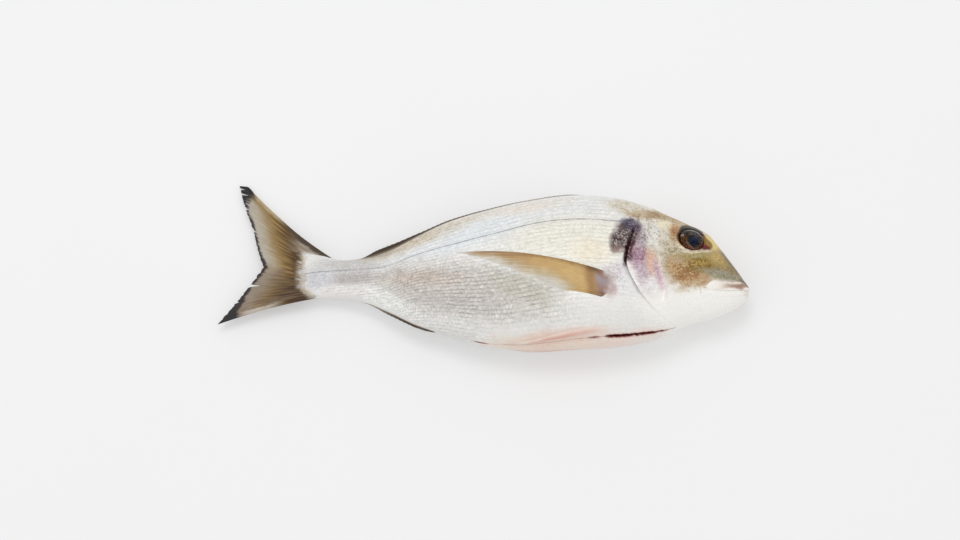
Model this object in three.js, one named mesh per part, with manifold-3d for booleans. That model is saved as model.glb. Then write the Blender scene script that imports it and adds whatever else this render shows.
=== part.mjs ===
// A whole raw sea bream, gutted through a slit in the belly, lying on its left side.
//
// Fish frame, in which every piece is first built: +X runs forward to the snout, whose tip is at x = 0,
// so that t = -x is the distance behind the snout; +Y runs up to the back and +Z out through the right
// flank. layDown() then rolls the fish onto its left flank and lets the tail sink towards the table.
// Final frame: +X to the head, +Y to the back, +Z up, origin under the middle of the box. Millimetres.

import * as THREE from 'three';
import Module from 'manifold-3d';
import { mergeVertices } from 'three/addons/utils/BufferGeometryUtils.js';

// ---------------------------------------------------------------- driving sizes

const STANDARD_LENGTH = 277;     // snout to the end of the scaled tail root
const WIDEST_LEVEL = 0.53;       // height of the thickest level, as a share of the body depth
const BACK_POWERS = { rise: 2.1, side: 1.9 };   // section shape above the thickest level
const BELLY_SIDE_POWER = 2.1;    // section shape below it, with bellyRise() along the body

// Stations along the body: distance behind the snout, back, belly, half thickness.
const STATIONS = [
  [0, -21.5, -21.5, 0],
  [0.6, -18.6, -25.2, 3],
  [2.5, -15.5, -29, 5],
  [5.6, -10.5, -32, 7.3],
  [11.8, -1, -36, 10.2],
  [18, 8, -39, 12],
  [24.2, 16.2, -41, 13.5],
  [36.6, 23.2, -44.5, 15.7],
  [49, 29.2, -50.5, 17.5],
  [61.4, 35.3, -55.3, 19],
  [80, 41, -59, 21],
  [104, 43.2, -60.8, 21.4],
  [135.8, 39, -61.2, 20.7],
  [160.6, 33.6, -58.8, 18.8],
  [185.4, 26.4, -51, 15.4],
  [204, 17.6, -44.5, 12.4],
  [222.6, 8, -34.5, 9.9],
  [235, 3.8, -28, 8.6],
  [250, 2, -24.2, 7.2],
  [265, 6, -23.2, 5.2],
  [STANDARD_LENGTH, 8.7, -23.5, 1.1],
];
const BELLY_RISE_STATIONS = [[0, 2.2], [30, 2.3], [60, 3.2], [150, 3.2], [180, 2.4], [277, 2.2]];

const GILL = {
  station: 70,          // ring of the loft that follows the margin of the gill cover
  apex: { t: 77.5, y: -12.3 },   // rearmost point of the margin
  upperSlope: 0.29,     // how fast the margin runs forward above the apex
  lowerSlope: 0.37,     // and below it
  lowerCurve: 0.0092,
  apexRound: 4,        // how far the margin's apex is rounded
  reach: 40,            // length over which the rings bend to the margin
  deepest: -22,         // furthest forward that the margin bends
  lift: 1.1,            // the cover stands this proud at its margin
  drop: 0.9,            // the flesh behind it lies this deep
  rise: 22,             // length of the cover's rise
  fall: 14,             // length over which the flesh comes back
  top: 26,              // the step dies out above this level
  foot: -50,            // and below this one
  fade: 9,
};

const EYE = {
  t: 34.9,
  y: 7.3,
  radius: 8.9,
  halfDepth: 5.5,
  proud: 2.7,
  gap: 0.35,
  rimWidth: 1.3,
  rimProud: 0.55,
};

const MOUTH = {
  corner: 27,           // the mouth's corner behind the snout
  upperCentre: [[0, -21.3], [6, -22.1], [14, -22.9], [22, -23.9], [27, -25.8]],
  upperHalf: [[0, 1.7], [6, 2.8], [14, 3.6], [22, 3], [27, 0.6]],
  line: [[0, -22.6], [5.6, -24.8], [11.8, -26.3], [18, -27], [23, -27.2], [27, -26.6]],
  lowerHalf: 1.5,
  lipProud: 0.8,
  lowerProud: 0.5,
  gape: 0.55,
  depth: 2,
};

// The belly slit: distance behind the snout against its offset to the right of the keel.
const SLIT = {
  line: [[43, 1.2], [60, 5.3], [90, 8], [125, 5.7], [155, 1.6], [174, 1]],
  start: 44,
  openEnd: 90,
  end: 173,
  openWidth: 2.1,
  openDepth: 9,
  closedWidth: 0.5,
  closedDepth: 1.8,
  flapOffset: 4.2,      // the lower cut edge is a thicker lip this far beside the slit
  flapHalf: 3.2,
  flapProud: 1.1,
};

const PECTORAL = {
  root: 85,
  spread: 92,           // the rays leave the fleshy base here
  knee: 117,
  tip: 181.5,
  upperRoot: -18,
  tipLevel: -3.2,
  lowerKnee: -32.3,
  lowerRoot: -37,
  sunk: 0.8,
  rootProud: 1.7,
  webProud: 1.1,
  rays: 5,
  rayRelief: 0.2,
};

const PELVIC = {
  root: 90,
  tip: 151,
  upper: [[90, 14], [105, 12.4], [120, 10.4], [136, 7], [151, 3.4]],
  lower: [[90, 9.6], [120, 7], [151, 2.6]],
  sunk: 0.8,
  proud: 1.2,
};

const DORSAL = { start: 90, end: 238, height: 2.1, rearHeight: 3.1, rearAt: 0.86, halfWidth: 1.4, sunk: 3 };
const ANAL = { start: 194, end: 240, height: 2.7, rearHeight: 2.7, rearAt: 0.5, halfWidth: 1.3, sunk: 3 };

const CAUDAL = {
  rootUpper: { t: 258, y: 3.6 },
  rootLower: { t: 264, y: -22.4 },
  upperTip: { t: 317.6, y: 56.4 },
  fork: { t: 300.8, y: -1.2 },
  lowerTip: { t: 328.4, y: -39.8 },
  upperLobe: [[0, 0, 0], [0.28, 4.4, 40], [0.6, 9.8, 24.5], [0.85, 13.2, 10], [1, 16.8, -1.2]],
  rayShare: 0.56,       // share of the rays that belong to the upper lobe
  upperBow: -3,         // sideways bow of the leading rays
  lowerBow: 1.6,
  rootHalf: 1.6,
  webHalf: 0.9,
  edgeHalf: 0.5,
  rays: 10,
  rayRelief: 0.18,
};

const POSE = {
  roll: THREE.MathUtils.degToRad(4),   // the belly side lies a little higher than the back
  midline: [[0, 19], [60, 19.5], [110, 20.3], [140, 19.5], [170, 17.4], [200, 15], [230, 12.4], [277, 9.5], [330, 6]],
  pressHeight: 4,       // flesh below this height is pressed flatter by the fish's weight
  restHeight: 1.6,      // what is below this height is the flat that it rests on
};

const AROUND = 40;        // facets round the body, a multiple of four
const HEAD_RING = 3.2;    // spacing of the rings ahead of the gill margin
const TRUNK_RING = 7.8;   // and behind it

// ---------------------------------------------------------------- curves and solids

// A smooth curve through [place, value, ...] rows that never overshoots them (monotone cubic).
function curve(rows, column = 1) {
  const places = rows.map((row) => row[0]);
  const values = rows.map((row) => row[column]);
  const slopes = places.slice(1).map((p, i) => (values[i + 1] - values[i]) / (p - places[i]));
  const tangents = values.map((_, i) => {
    if (i === 0) return slopes[0];
    if (i === values.length - 1) return slopes[i - 1];
    if (slopes[i - 1] * slopes[i] <= 0) return 0;
    const before = places[i] - places[i - 1];
    const after = places[i + 1] - places[i];
    const w1 = 2 * after + before;
    const w2 = after + 2 * before;
    return (w1 + w2) / (w1 / slopes[i - 1] + w2 / slopes[i]);
  });
  return (place) => {
    const x = THREE.MathUtils.clamp(place, places[0], places[places.length - 1]);
    let i = 0;
    while (i < places.length - 2 && x > places[i + 1]) i += 1;
    const span = places[i + 1] - places[i];
    const u = (x - places[i]) / span;
    const u2 = u * u;
    const u3 = u2 * u;
    return (2 * u3 - 3 * u2 + 1) * values[i] + (u3 - 2 * u2 + u) * span * tangents[i]
      + (3 * u2 - 2 * u3) * values[i + 1] + (u3 - u2) * span * tangents[i + 1];
  };
}

const { lerp, smoothstep } = THREE.MathUtils;

const wasm = await Module();
wasm.setup();

// A closed indexed geometry turned so that its faces point out.
function closedGeometry(points, triangles) {
  const geometry = new THREE.BufferGeometry().setFromPoints(points);
  const crossed = new THREE.Vector3();
  let volume = 0;
  for (const [a, b, c] of triangles) {
    volume += points[a].dot(crossed.crossVectors(points[b], points[c]));
  }
  const faces = volume > 0 ? triangles : triangles.map(([a, b, c]) => [a, c, b]);
  geometry.setIndex(faces.flat());
  return geometry;
}

function toSolid(geometry) {
  const bare = geometry.clone();
  bare.deleteAttribute('normal');
  bare.deleteAttribute('uv');
  const merged = mergeVertices(bare, 1e-4);
  return new wasm.Manifold(new wasm.Mesh({
    numProp: 3,
    vertProperties: new Float32Array(merged.attributes.position.array),
    triVerts: new Uint32Array(merged.index.array),
  }));
}

function toGeometry(solid) {
  const mesh = solid.getMesh();
  const geometry = new THREE.BufferGeometry();
  geometry.setAttribute('position', new THREE.BufferAttribute(mesh.vertProperties, 3));
  geometry.setIndex(new THREE.BufferAttribute(mesh.triVerts, 1));
  return geometry;
}

// A solid through closed rings of points, its two ends closed by fans.
function loft(rings) {
  const count = rings[0].length;
  const points = rings.flat();
  const triangles = [];
  for (let r = 0; r + 1 < rings.length; r += 1) {
    for (let j = 0; j < count; j += 1) {
      const a = r * count + j;
      const b = r * count + (j + 1) % count;
      triangles.push([a, b, a + count], [b, b + count, a + count]);
    }
  }
  for (const [r, flip] of [[0, true], [rings.length - 1, false]]) {
    const middle = new THREE.Vector3();
    rings[r].forEach((point) => middle.addScaledVector(point, 1 / count));
    const hub = points.push(middle) - 1;
    for (let j = 0; j < count; j += 1) {
      const a = r * count + j;
      const b = r * count + (j + 1) % count;
      triangles.push(flip ? [b, a, hub] : [a, b, hub]);
    }
  }
  return toSolid(closedGeometry(points, triangles));
}

// The same for rings that follow a closed path, such as the rim of an eye.
function closedLoft(rings) {
  const count = rings[0].length;
  const total = rings.length * count;
  const triangles = [];
  for (let r = 0; r < rings.length; r += 1) {
    for (let j = 0; j < count; j += 1) {
      const a = r * count + j;
      const b = r * count + (j + 1) % count;
      triangles.push([a, b, (a + count) % total], [b, (b + count) % total, (a + count) % total]);
    }
  }
  return toSolid(closedGeometry(rings.flat(), triangles));
}

// A thin solid between two sheets, outer(u, v) and inner(u, v), with u and v from 0 to 1.
function plate(outer, inner, uSteps, vSteps) {
  const rings = [];
  for (let i = 0; i <= uSteps; i += 1) {
    const u = i / uSteps;
    const ring = [];
    for (let j = 0; j <= vSteps; j += 1) ring.push(outer(u, j / vSteps));
    for (let j = vSteps; j >= 0; j -= 1) ring.push(inner(u, j / vSteps));
    rings.push(ring);
  }
  return loft(rings);
}

// ---------------------------------------------------------------- the body's skin

const backLine = curve(STATIONS, 1);
const bellyLine = curve(STATIONS, 2);
const halfThickness = curve(STATIONS, 3);
const bellyRise = curve(BELLY_RISE_STATIONS);

function section(t) {
  const top = backLine(t);
  const bottom = bellyLine(t);
  const level = lerp(bottom, top, WIDEST_LEVEL);
  return { top, bottom, level, half: halfThickness(t), rise: bellyRise(t) };
}

// Half thickness of the body at a level y of the section at t.
function halfAt(t, y) {
  const s = section(t);
  const above = y > s.level;
  const share = above ? (y - s.level) / (s.top - s.level) : (s.level - y) / (s.level - s.bottom);
  const rise = above ? BACK_POWERS.rise : s.rise;
  const side = above ? BACK_POWERS.side : BELLY_SIDE_POWER;
  return s.half * Math.max(0, 1 - Math.min(1, share) ** rise) ** (1 / side);
}

// Level of the belly's skin at an offset z from the keel.
function bellyAt(t, z) {
  const s = section(t);
  const share = Math.min(1, Math.abs(z) / s.half);
  return s.level - (s.level - s.bottom) * (1 - share ** BELLY_SIDE_POWER) ** (1 / s.rise);
}

// Point of a quarter section, at a share of its length from the thickest level to the back or the keel.
function quarterPoint(half, height, rise, side, share) {
  const steps = 40;
  const at = (i) => {
    const angle = (i / steps) * Math.PI / 2;
    return [height * Math.sin(angle) ** (2 / rise), half * Math.max(0, Math.cos(angle)) ** (2 / side)];
  };
  const lengths = [0];
  for (let i = 1; i <= steps; i += 1) {
    const [y0, z0] = at(i - 1);
    const [y1, z1] = at(i);
    lengths.push(lengths[i - 1] + Math.hypot(y1 - y0, z1 - z0));
  }
  const wanted = share * lengths[steps];
  let i = 1;
  while (i < steps && lengths[i] < wanted) i += 1;
  return at(i - 1 + (wanted - lengths[i - 1]) / (lengths[i] - lengths[i - 1]));
}

// Point of the whole section at t; turn runs from 0 at the right flank over the back and round.
function sectionPoint(t, turn) {
  const s = section(t);
  const quarter = Math.floor(turn * 4) % 4;
  const part = turn * 4 - Math.floor(turn * 4);
  const share = quarter % 2 === 0 ? part : 1 - part;
  const above = quarter < 2;
  const height = above ? s.top - s.level : s.level - s.bottom;
  const rise = above ? BACK_POWERS.rise : s.rise;
  const side = above ? BACK_POWERS.side : BELLY_SIDE_POWER;
  const [dy, z] = quarterPoint(s.half, height, rise, side, share);
  const right = quarter === 0 || quarter === 3;
  return new THREE.Vector3(-t, s.level + (above ? dy : -dy), right ? z : -z);
}

// How far the gill margin lies behind or ahead of its ring at a level y.
function gillShift(y) {
  const rise = y - GILL.apex.y;
  const round = Math.hypot(rise, GILL.apexRound) - GILL.apexRound;
  const away = rise > 0 ? GILL.upperSlope * round : GILL.lowerSlope * round + GILL.lowerCurve * rise * rise;
  return Math.max(GILL.deepest, GILL.apex.t - away - GILL.station);
}

// Height of the gill cover's relief at a ring s and a level y.
function gillRelief(s, y) {
  const past = s - GILL.station;
  const fade = (1 - smoothstep(y, GILL.top, GILL.top + GILL.fade))
    * smoothstep(y, GILL.foot - GILL.fade, GILL.foot);
  const height = past <= 0
    ? GILL.lift * smoothstep(past, -GILL.rise, 0)
    : -GILL.drop * (1 - smoothstep(past, 0, GILL.fall));
  return height * fade;
}

// Point of the skin on ring s, the rings near the gills bent to the margin of the gill cover.
function skinPoint(s, turn) {
  const plain = sectionPoint(s, turn);
  const pull = 1 - smoothstep(Math.abs(s - GILL.station), 0, GILL.reach);
  const point = sectionPoint(s + pull * gillShift(plain.y), turn);
  const half = Math.max(1, halfThickness(s));
  point.z *= 1 + gillRelief(s, point.y) / half;
  return point;
}

// Where the rings stand: close at the snout, in steps along the head, close at the gill margin.
function ringPlaces() {
  const places = [0.12, 0.4, 0.9, 1.7, 3, 4.6, 6.6, 9];
  const headEnd = GILL.station - 1.6;
  const headSteps = Math.round((headEnd - 9) / HEAD_RING);
  for (let i = 1; i <= headSteps; i += 1) places.push(lerp(9, headEnd, i / headSteps));
  places.push(GILL.station - 0.3, GILL.station + 0.5, GILL.station + 2.4);
  const trunkStart = GILL.station + 5.5;
  const trunkSteps = Math.round((STANDARD_LENGTH - trunkStart) / TRUNK_RING);
  for (let i = 0; i <= trunkSteps; i += 1) places.push(lerp(trunkStart, STANDARD_LENGTH, i / trunkSteps));
  return places;
}

function body() {
  const rings = ringPlaces().map((s) => {
    const ring = [];
    for (let j = 0; j < AROUND; j += 1) ring.push(skinPoint(s, j / AROUND));
    return ring;
  });
  return loft(rings);
}

// Outward normal of the plain skin at t, y on a side (+1 right, -1 left).
function skinNormal(t, y, side) {
  const step = 0.05;
  const square = (tt, yy) => halfAt(tt, yy) ** 2;
  const alongT = (square(t + step, y) - square(t - step, y)) / (2 * step);
  const alongY = (square(t, y + step) - square(t, y - step)) / (2 * step);
  return new THREE.Vector3(alongT, -alongY, 2 * side * Math.max(0.05, halfAt(t, y))).normalize();
}

function onSkin(t, y, side, lift = 0) {
  return new THREE.Vector3(-t, y, side * halfAt(t, y)).addScaledVector(skinNormal(t, y, side), lift);
}

// A skin point of the belly given by its offset z from the keel.
function onBelly(t, z, lift = 0) {
  const y = bellyAt(t, z);
  const slope = (bellyAt(t, z + 0.05) - bellyAt(t, z - 0.05)) / 0.1;
  const normal = new THREE.Vector3(0, -1, slope).normalize();
  return { point: new THREE.Vector3(-t, y, z).addScaledVector(normal, lift), normal };
}

// A bead along the skin: each stop has a point, an outward normal, a half width and a height.
function beadRings(stops, closed) {
  const sides = 4;
  return stops.map((stop, i) => {
    const next = stops[closed ? (i + 1) % stops.length : Math.min(i + 1, stops.length - 1)];
    const last = stops[closed ? (i + stops.length - 1) % stops.length : Math.max(i - 1, 0)];
    const ahead = next.point.clone().sub(last.point).normalize();
    const across = new THREE.Vector3().crossVectors(ahead, stop.normal).normalize();
    const ring = [];
    for (let k = 0; k <= sides; k += 1) {
      const angle = (k / sides) * Math.PI;
      ring.push(stop.point.clone()
        .addScaledVector(across, stop.half * Math.cos(angle))
        .addScaledVector(stop.normal, stop.proud * Math.sin(angle)));
    }
    for (const sign of [-0.8, 0.8]) {
      ring.push(stop.point.clone()
        .addScaledVector(across, sign * stop.half)
        .addScaledVector(stop.normal, -stop.sunk));
    }
    return ring;
  });
}

// A blade that cuts a groove: a four-sided section, wide at the skin and narrower at its floor.
function blade(stops) {
  const over = 2.5;
  const rings = stops.map((stop, i) => {
    const ahead = stops[Math.min(i + 1, stops.length - 1)].point.clone()
      .sub(stops[Math.max(i - 1, 0)].point).normalize();
    const across = new THREE.Vector3().crossVectors(ahead, stop.normal).normalize();
    return [[1, over], [-1, over], [-0.5, -stop.depth], [0.5, -stop.depth]].map(([side, lift]) => (
      stop.point.clone()
        .addScaledVector(across, side * stop.width / 2)
        .addScaledVector(stop.normal, lift)));
  });
  return loft(rings);
}

// ---------------------------------------------------------------- the head

const upperLipCentre = curve(MOUTH.upperCentre);
const upperLipHalf = curve(MOUTH.upperHalf);
const mouthLine = curve(MOUTH.line);

// Stops from the right corner of the mouth round the snout to the left one, at a level y(t).
function snoutStops(levelAt, corner, steps, extras) {
  const stops = [];
  for (let i = -steps; i <= steps; i += 1) {
    const k = i / steps;
    const side = k < 0 ? 1 : -1;
    const nose = noseAt(levelAt);
    const t = lerp(nose, corner, k * k);
    const y = levelAt(t);
    const z = i === 0 ? 0 : side * halfAt(t, y);
    const normal = i === 0 ? new THREE.Vector3(1, 0, 0) : skinNormal(t, y, side);
    stops.push({ point: new THREE.Vector3(-t, y, z), normal, ...extras(t, Math.abs(k)) });
  }
  return stops;
}

// The first place behind the snout where the level lies inside the profile.
function noseAt(levelAt) {
  let t = 0;
  while (halfAt(t, levelAt(t)) <= 0.02) t += 0.02;
  return t;
}

function upperLip() {
  const taper = (k) => 1 - smoothstep(k, 0.86, 1.02);
  const stops = snoutStops(upperLipCentre, MOUTH.corner - 0.6, 9, (t, k) => ({
    half: upperLipHalf(t), proud: 0.15 + MOUTH.lipProud * taper(k), sunk: 1.6,
  }));
  return loft(beadRings(stops, false));
}

function lowerLip() {
  const level = (t) => mouthLine(t) - MOUTH.lowerHalf - 0.4;
  const taper = (k) => 1 - smoothstep(k, 0.75, 1.02);
  const stops = snoutStops(level, MOUTH.corner - 3, 8, (t, k) => ({
    half: MOUTH.lowerHalf, proud: 0.1 + MOUTH.lowerProud * taper(k), sunk: 1.4,
  }));
  return loft(beadRings(stops, false));
}

function mouthCut() {
  const stops = snoutStops(mouthLine, MOUTH.corner, 9, (t, k) => ({
    width: MOUTH.gape, depth: lerp(MOUTH.depth, 0.8, k),
  }));
  return blade(stops);
}

// The eyeball's frame on a side: its middle, and a turn that points its short axis out of the skin.
function eyeFrame(side) {
  const normal = skinNormal(EYE.t, EYE.y, side);
  const middle = onSkin(EYE.t, EYE.y, side, EYE.proud - EYE.halfDepth);
  const turn = new THREE.Quaternion().setFromUnitVectors(new THREE.Vector3(0, 1, 0), normal);
  return { middle, turn, normal };
}

// An ellipsoid with its poles on the line of sight, larger all round by an allowance.
function eyeBall(side, allowance) {
  const { middle, turn } = eyeFrame(side);
  const geometry = new THREE.SphereGeometry(1, 22, 9);
  geometry.scale(EYE.radius + allowance, EYE.halfDepth + allowance, EYE.radius + allowance);
  geometry.applyQuaternion(turn);
  geometry.translate(middle.x, middle.y, middle.z);
  return toSolid(geometry);
}

// The raised rim of skin round the eye.
function eyeRim(side) {
  const { normal } = eyeFrame(side);
  const radius = EYE.radius + EYE.rimWidth * 0.6;
  const count = 20;
  const stops = [];
  for (let i = 0; i < count; i += 1) {
    const angle = (i / count) * Math.PI * 2;
    const lean = Math.abs(normal.z);
    const t = EYE.t + radius * Math.cos(angle) * Math.hypot(lean, normal.y);
    const y = EYE.y + radius * Math.sin(angle) * lean * 1.04;
    stops.push({
      point: onSkin(t, y, side), normal: skinNormal(t, y, side),
      half: EYE.rimWidth, proud: EYE.rimProud, sunk: 1.2,
    });
  }
  return closedLoft(beadRings(stops, true));
}

// ---------------------------------------------------------------- the fins

// A fin fan ridge: 0 in the web and 1 on a ray, over a share across the fan.
function rayWave(share, rays) {
  return 0.5 - 0.5 * Math.cos(share * rays * Math.PI * 2);
}

// The long pectoral fin, folded back flat on the flank.
function pectoral(side) {
  const upper = (t) => {
    const share = Math.max(0, (t - PECTORAL.spread) / (PECTORAL.tip - PECTORAL.spread));
    return lerp(PECTORAL.upperRoot, PECTORAL.tipLevel, 1 - (1 - share) ** 1.9);
  };
  const lower = (t) => {
    if (t < PECTORAL.knee) {
      const share = (PECTORAL.knee - t) / (PECTORAL.knee - PECTORAL.spread);
      return lerp(PECTORAL.lowerKnee, PECTORAL.lowerRoot, Math.min(1, share) ** 2);
    }
    const share = (t - PECTORAL.knee) / (PECTORAL.tip - PECTORAL.knee);
    return PECTORAL.tipLevel - (PECTORAL.tipLevel - PECTORAL.lowerKnee) * (1 - share) ** 1.15;
  };
  const place = (u, v) => {
    const t = lerp(PECTORAL.root, PECTORAL.tip, u);
    const narrow = smoothstep(t, PECTORAL.root - 4, PECTORAL.spread + 2);
    const middle = (upper(t) + lower(t)) / 2;
    const half = (upper(t) - lower(t)) / 2 * narrow + 0.35;
    return { t, y: middle + half * (1 - 2 * v) };
  };
  const proud = (u, v) => {
    const web = lerp(PECTORAL.rootProud, PECTORAL.webProud, smoothstep(u, 0.02, 0.3));
    const edge = Math.sin(Math.PI * lerp(0.12, 0.88, v)) ** 0.5;
    const start = smoothstep(u, -0.02, 0.08);
    return 0.2 + web * edge * start * lerp(1, 0.55, u) + PECTORAL.rayRelief * rayWave(v, PECTORAL.rays) * start * (1 - u);
  };
  const outer = (u, v) => {
    const { t, y } = place(u, v);
    return onSkin(t, y, side, proud(u, v));
  };
  const inner = (u, v) => {
    const { t, y } = place(u, v);
    return onSkin(t, y, side, -PECTORAL.sunk);
  };
  return plate(outer, inner, 17, PECTORAL.rays * 2);
}

// A pelvic fin, folded back along its side of the slit.
function pelvic(side) {
  const upper = curve(PELVIC.upper);
  const lower = curve(PELVIC.lower);
  const sheet = (liftAt) => (u, v) => {
    const t = lerp(PELVIC.root, PELVIC.tip, u);
    const z = side * lerp(lower(t), upper(t), v);
    return onBelly(t, z, liftAt(u, v)).point;
  };
  const bulge = (u, v) => 0.3 + PELVIC.proud * Math.sin(Math.PI * lerp(0.1, 0.9, v))
    * smoothstep(u, -0.05, 0.15) * (1 - 0.7 * u);
  return plate(sheet(bulge), sheet(() => -PELVIC.sunk), 11, 4);
}

// A fin folded into a ridge along the back or the keel.
function foldedFin(fin, lineAt, direction) {
  const steps = Math.round((fin.end - fin.start) / 6);
  const rings = [];
  for (let i = 0; i <= steps; i += 1) {
    const share = i / steps;
    const t = lerp(fin.start, fin.end, share);
    const ends = smoothstep(share, -0.02, 0.12) * (1 - smoothstep(share, 0.9, 1.02));
    const full = lerp(fin.height, fin.rearHeight, Math.exp(-(((share - fin.rearAt) / 0.12) ** 2)));
    const height = 0.25 + full * ends;
    const root = lineAt(t);
    const half = fin.halfWidth * lerp(0.5, 1, ends);
    rings.push([
      [-half, -fin.sunk], [half, -fin.sunk], [half, 0], [half * 0.6, height * 0.85],
      [0, height], [-half * 0.6, height * 0.85], [-half, 0],
    ].map(([z, rise]) => new THREE.Vector3(-t, root + direction * rise, z)));
  }
  return loft(rings);
}

// The tail fin: rays that fan out from the tail root to a forked trailing edge.
function caudal() {
  const upperEdge = {
    t: curve(CAUDAL.upperLobe.map(([share, back]) => [share, CAUDAL.upperTip.t - back])),
    y: curve(CAUDAL.upperLobe.map(([share, , y]) => [share, share === 0 ? CAUDAL.upperTip.y : y])),
  };
  const trailing = (share) => {
    if (share <= CAUDAL.rayShare) {
      const part = share / CAUDAL.rayShare;
      return { t: upperEdge.t(part), y: upperEdge.y(part) };
    }
    const part = (share - CAUDAL.rayShare) / (1 - CAUDAL.rayShare);
    const sag = 1.6 * Math.sin(Math.PI * part);
    return {
      t: lerp(CAUDAL.fork.t, CAUDAL.lowerTip.t, part) - sag,
      y: lerp(CAUDAL.fork.y, CAUDAL.lowerTip.y, part) - sag * 0.6,
    };
  };
  const place = (u, v) => {
    const rootT = lerp(CAUDAL.rootUpper.t, CAUDAL.rootLower.t, u);
    const rootY = lerp(CAUDAL.rootUpper.y, CAUDAL.rootLower.y, u);
    const end = trailing(u);
    const bow = lerp(CAUDAL.upperBow, CAUDAL.lowerBow, u) * 4 * v * (1 - v);
    return { t: lerp(rootT, end.t, v), y: lerp(rootY, end.y, v) + bow };
  };
  const half = (u, v) => {
    const web = lerp(CAUDAL.rootHalf, CAUDAL.webHalf, smoothstep(v, 0, 0.45));
    const edge = lerp(web, CAUDAL.edgeHalf, smoothstep(v, 0.5, 1));
    const spine = 0.5 * (1 - smoothstep(Math.min(u, 1 - u), 0, 0.12)) * (1 - v);
    return edge + spine + CAUDAL.rayRelief * rayWave(u, CAUDAL.rays) * smoothstep(v, 0.05, 0.3);
  };
  const sheet = (side) => (u, v) => {
    const { t, y } = place(u, v);
    return new THREE.Vector3(-t, y, side * half(u, v));
  };
  return plate(sheet(1), sheet(-1), CAUDAL.rays * 2, 9);
}

// ---------------------------------------------------------------- the belly slit

const slitLine = curve(SLIT.line);

function slitStops(offset, start, end, steps, extras) {
  const stops = [];
  for (let i = 0; i <= steps; i += 1) {
    const t = lerp(start, end, i / steps);
    const { point, normal } = onBelly(t, slitLine(t) + offset);
    stops.push({ point, normal, ...extras(t, i / steps) });
  }
  return stops;
}

function slitCut() {
  const open = (t) => smoothstep(t, SLIT.start - 4, SLIT.start + 20) * (1 - smoothstep(t, SLIT.openEnd - 8, SLIT.openEnd));
  return blade(slitStops(0, SLIT.start, SLIT.end, 24, (t) => ({
    width: lerp(SLIT.closedWidth, SLIT.openWidth, open(t)),
    depth: lerp(SLIT.closedDepth, SLIT.openDepth, open(t)),
  })));
}

function slitFlap() {
  const taper = (share) => Math.sin(Math.PI * lerp(0.04, 0.96, share));
  return loft(beadRings(slitStops(-SLIT.flapOffset, SLIT.start + 6, SLIT.end - 8, 14, (t, share) => ({
    half: SLIT.flapHalf, proud: SLIT.flapProud * taper(share) + 0.05, sunk: 1.2,
  })), false));
}

// ---------------------------------------------------------------- lying down

const midline = curve(POSE.midline);

// Rolls a point onto the left flank, lets the tail sink and presses the underside flat.
function layDown(point) {
  const cos = Math.cos(POSE.roll);
  const sin = Math.sin(POSE.roll);
  const height = midline(-point.x) + point.z * cos - point.y * sin;
  const pressed = height < POSE.pressHeight
    ? POSE.pressHeight * Math.exp((height - POSE.pressHeight) / POSE.pressHeight)
    : height;
  return point.set(point.x, point.y * cos + point.z * sin, pressed);
}

function laidDown(solid) {
  const geometry = toGeometry(solid);
  const position = geometry.attributes.position;
  const point = new THREE.Vector3();
  for (let i = 0; i < position.count; i += 1) {
    layDown(point.fromBufferAttribute(position, i));
    position.setXYZ(i, point.x, point.y, point.z);
  }
  return toSolid(geometry);
}

function restFlat(solid) {
  const table = new THREE.BoxGeometry(900, 900, 40);
  table.translate(0, 0, POSE.restHeight - 20);
  return solid.subtract(toSolid(table));
}

// ---------------------------------------------------------------- the fish

function wholeFish() {
  let solid = body()
    .add(caudal())
    .add(foldedFin(DORSAL, backLine, 1))
    .add(foldedFin(ANAL, bellyLine, -1))
    .add(slitFlap())
    .add(upperLip())
    .add(lowerLip());
  for (const side of [1, -1]) {
    solid = solid.add(pectoral(side)).add(pelvic(side)).add(eyeRim(side));
    solid = solid.subtract(eyeBall(side, EYE.gap));
  }
  return solid.subtract(mouthCut()).subtract(slitCut());
}

function piece(name, solid, color, roughness) {
  const material = new THREE.MeshStandardMaterial({ color, roughness, metalness: 0 });
  const mesh = new THREE.Mesh(toGeometry(restFlat(laidDown(solid))), material);
  mesh.name = name;
  return mesh;
}

const fish = new THREE.Group();
fish.name = 'whole_raw_fish';
fish.add(piece('fish', wholeFish(), 0xdcdbd2, 0.35));
fish.add(piece('eye_right', eyeBall(1, 0), 0x40393a, 0.1));
fish.add(piece('eye_left', eyeBall(-1, 0), 0x40393a, 0.1));

const box = new THREE.Box3().setFromObject(fish);
const middle = box.getCenter(new THREE.Vector3());
fish.position.set(-middle.x, -middle.y, -box.min.z);

export default fish;
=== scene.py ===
"""A whole raw sea bream, gutted through its belly, lying on its left flank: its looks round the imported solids.

Every piece is first built in the fish frame, in millimetres: x = -t runs forward to the snout, whose tip is at
t = 0, y runs up to the back and z out through the right flank. Pose.lay_down() then rolls the piece onto the left
flank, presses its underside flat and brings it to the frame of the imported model, in metres.
"""

from __future__ import annotations

import logging
import math
from dataclasses import dataclass, field
from enum import Enum
from functools import cached_property
from typing import Optional

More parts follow.
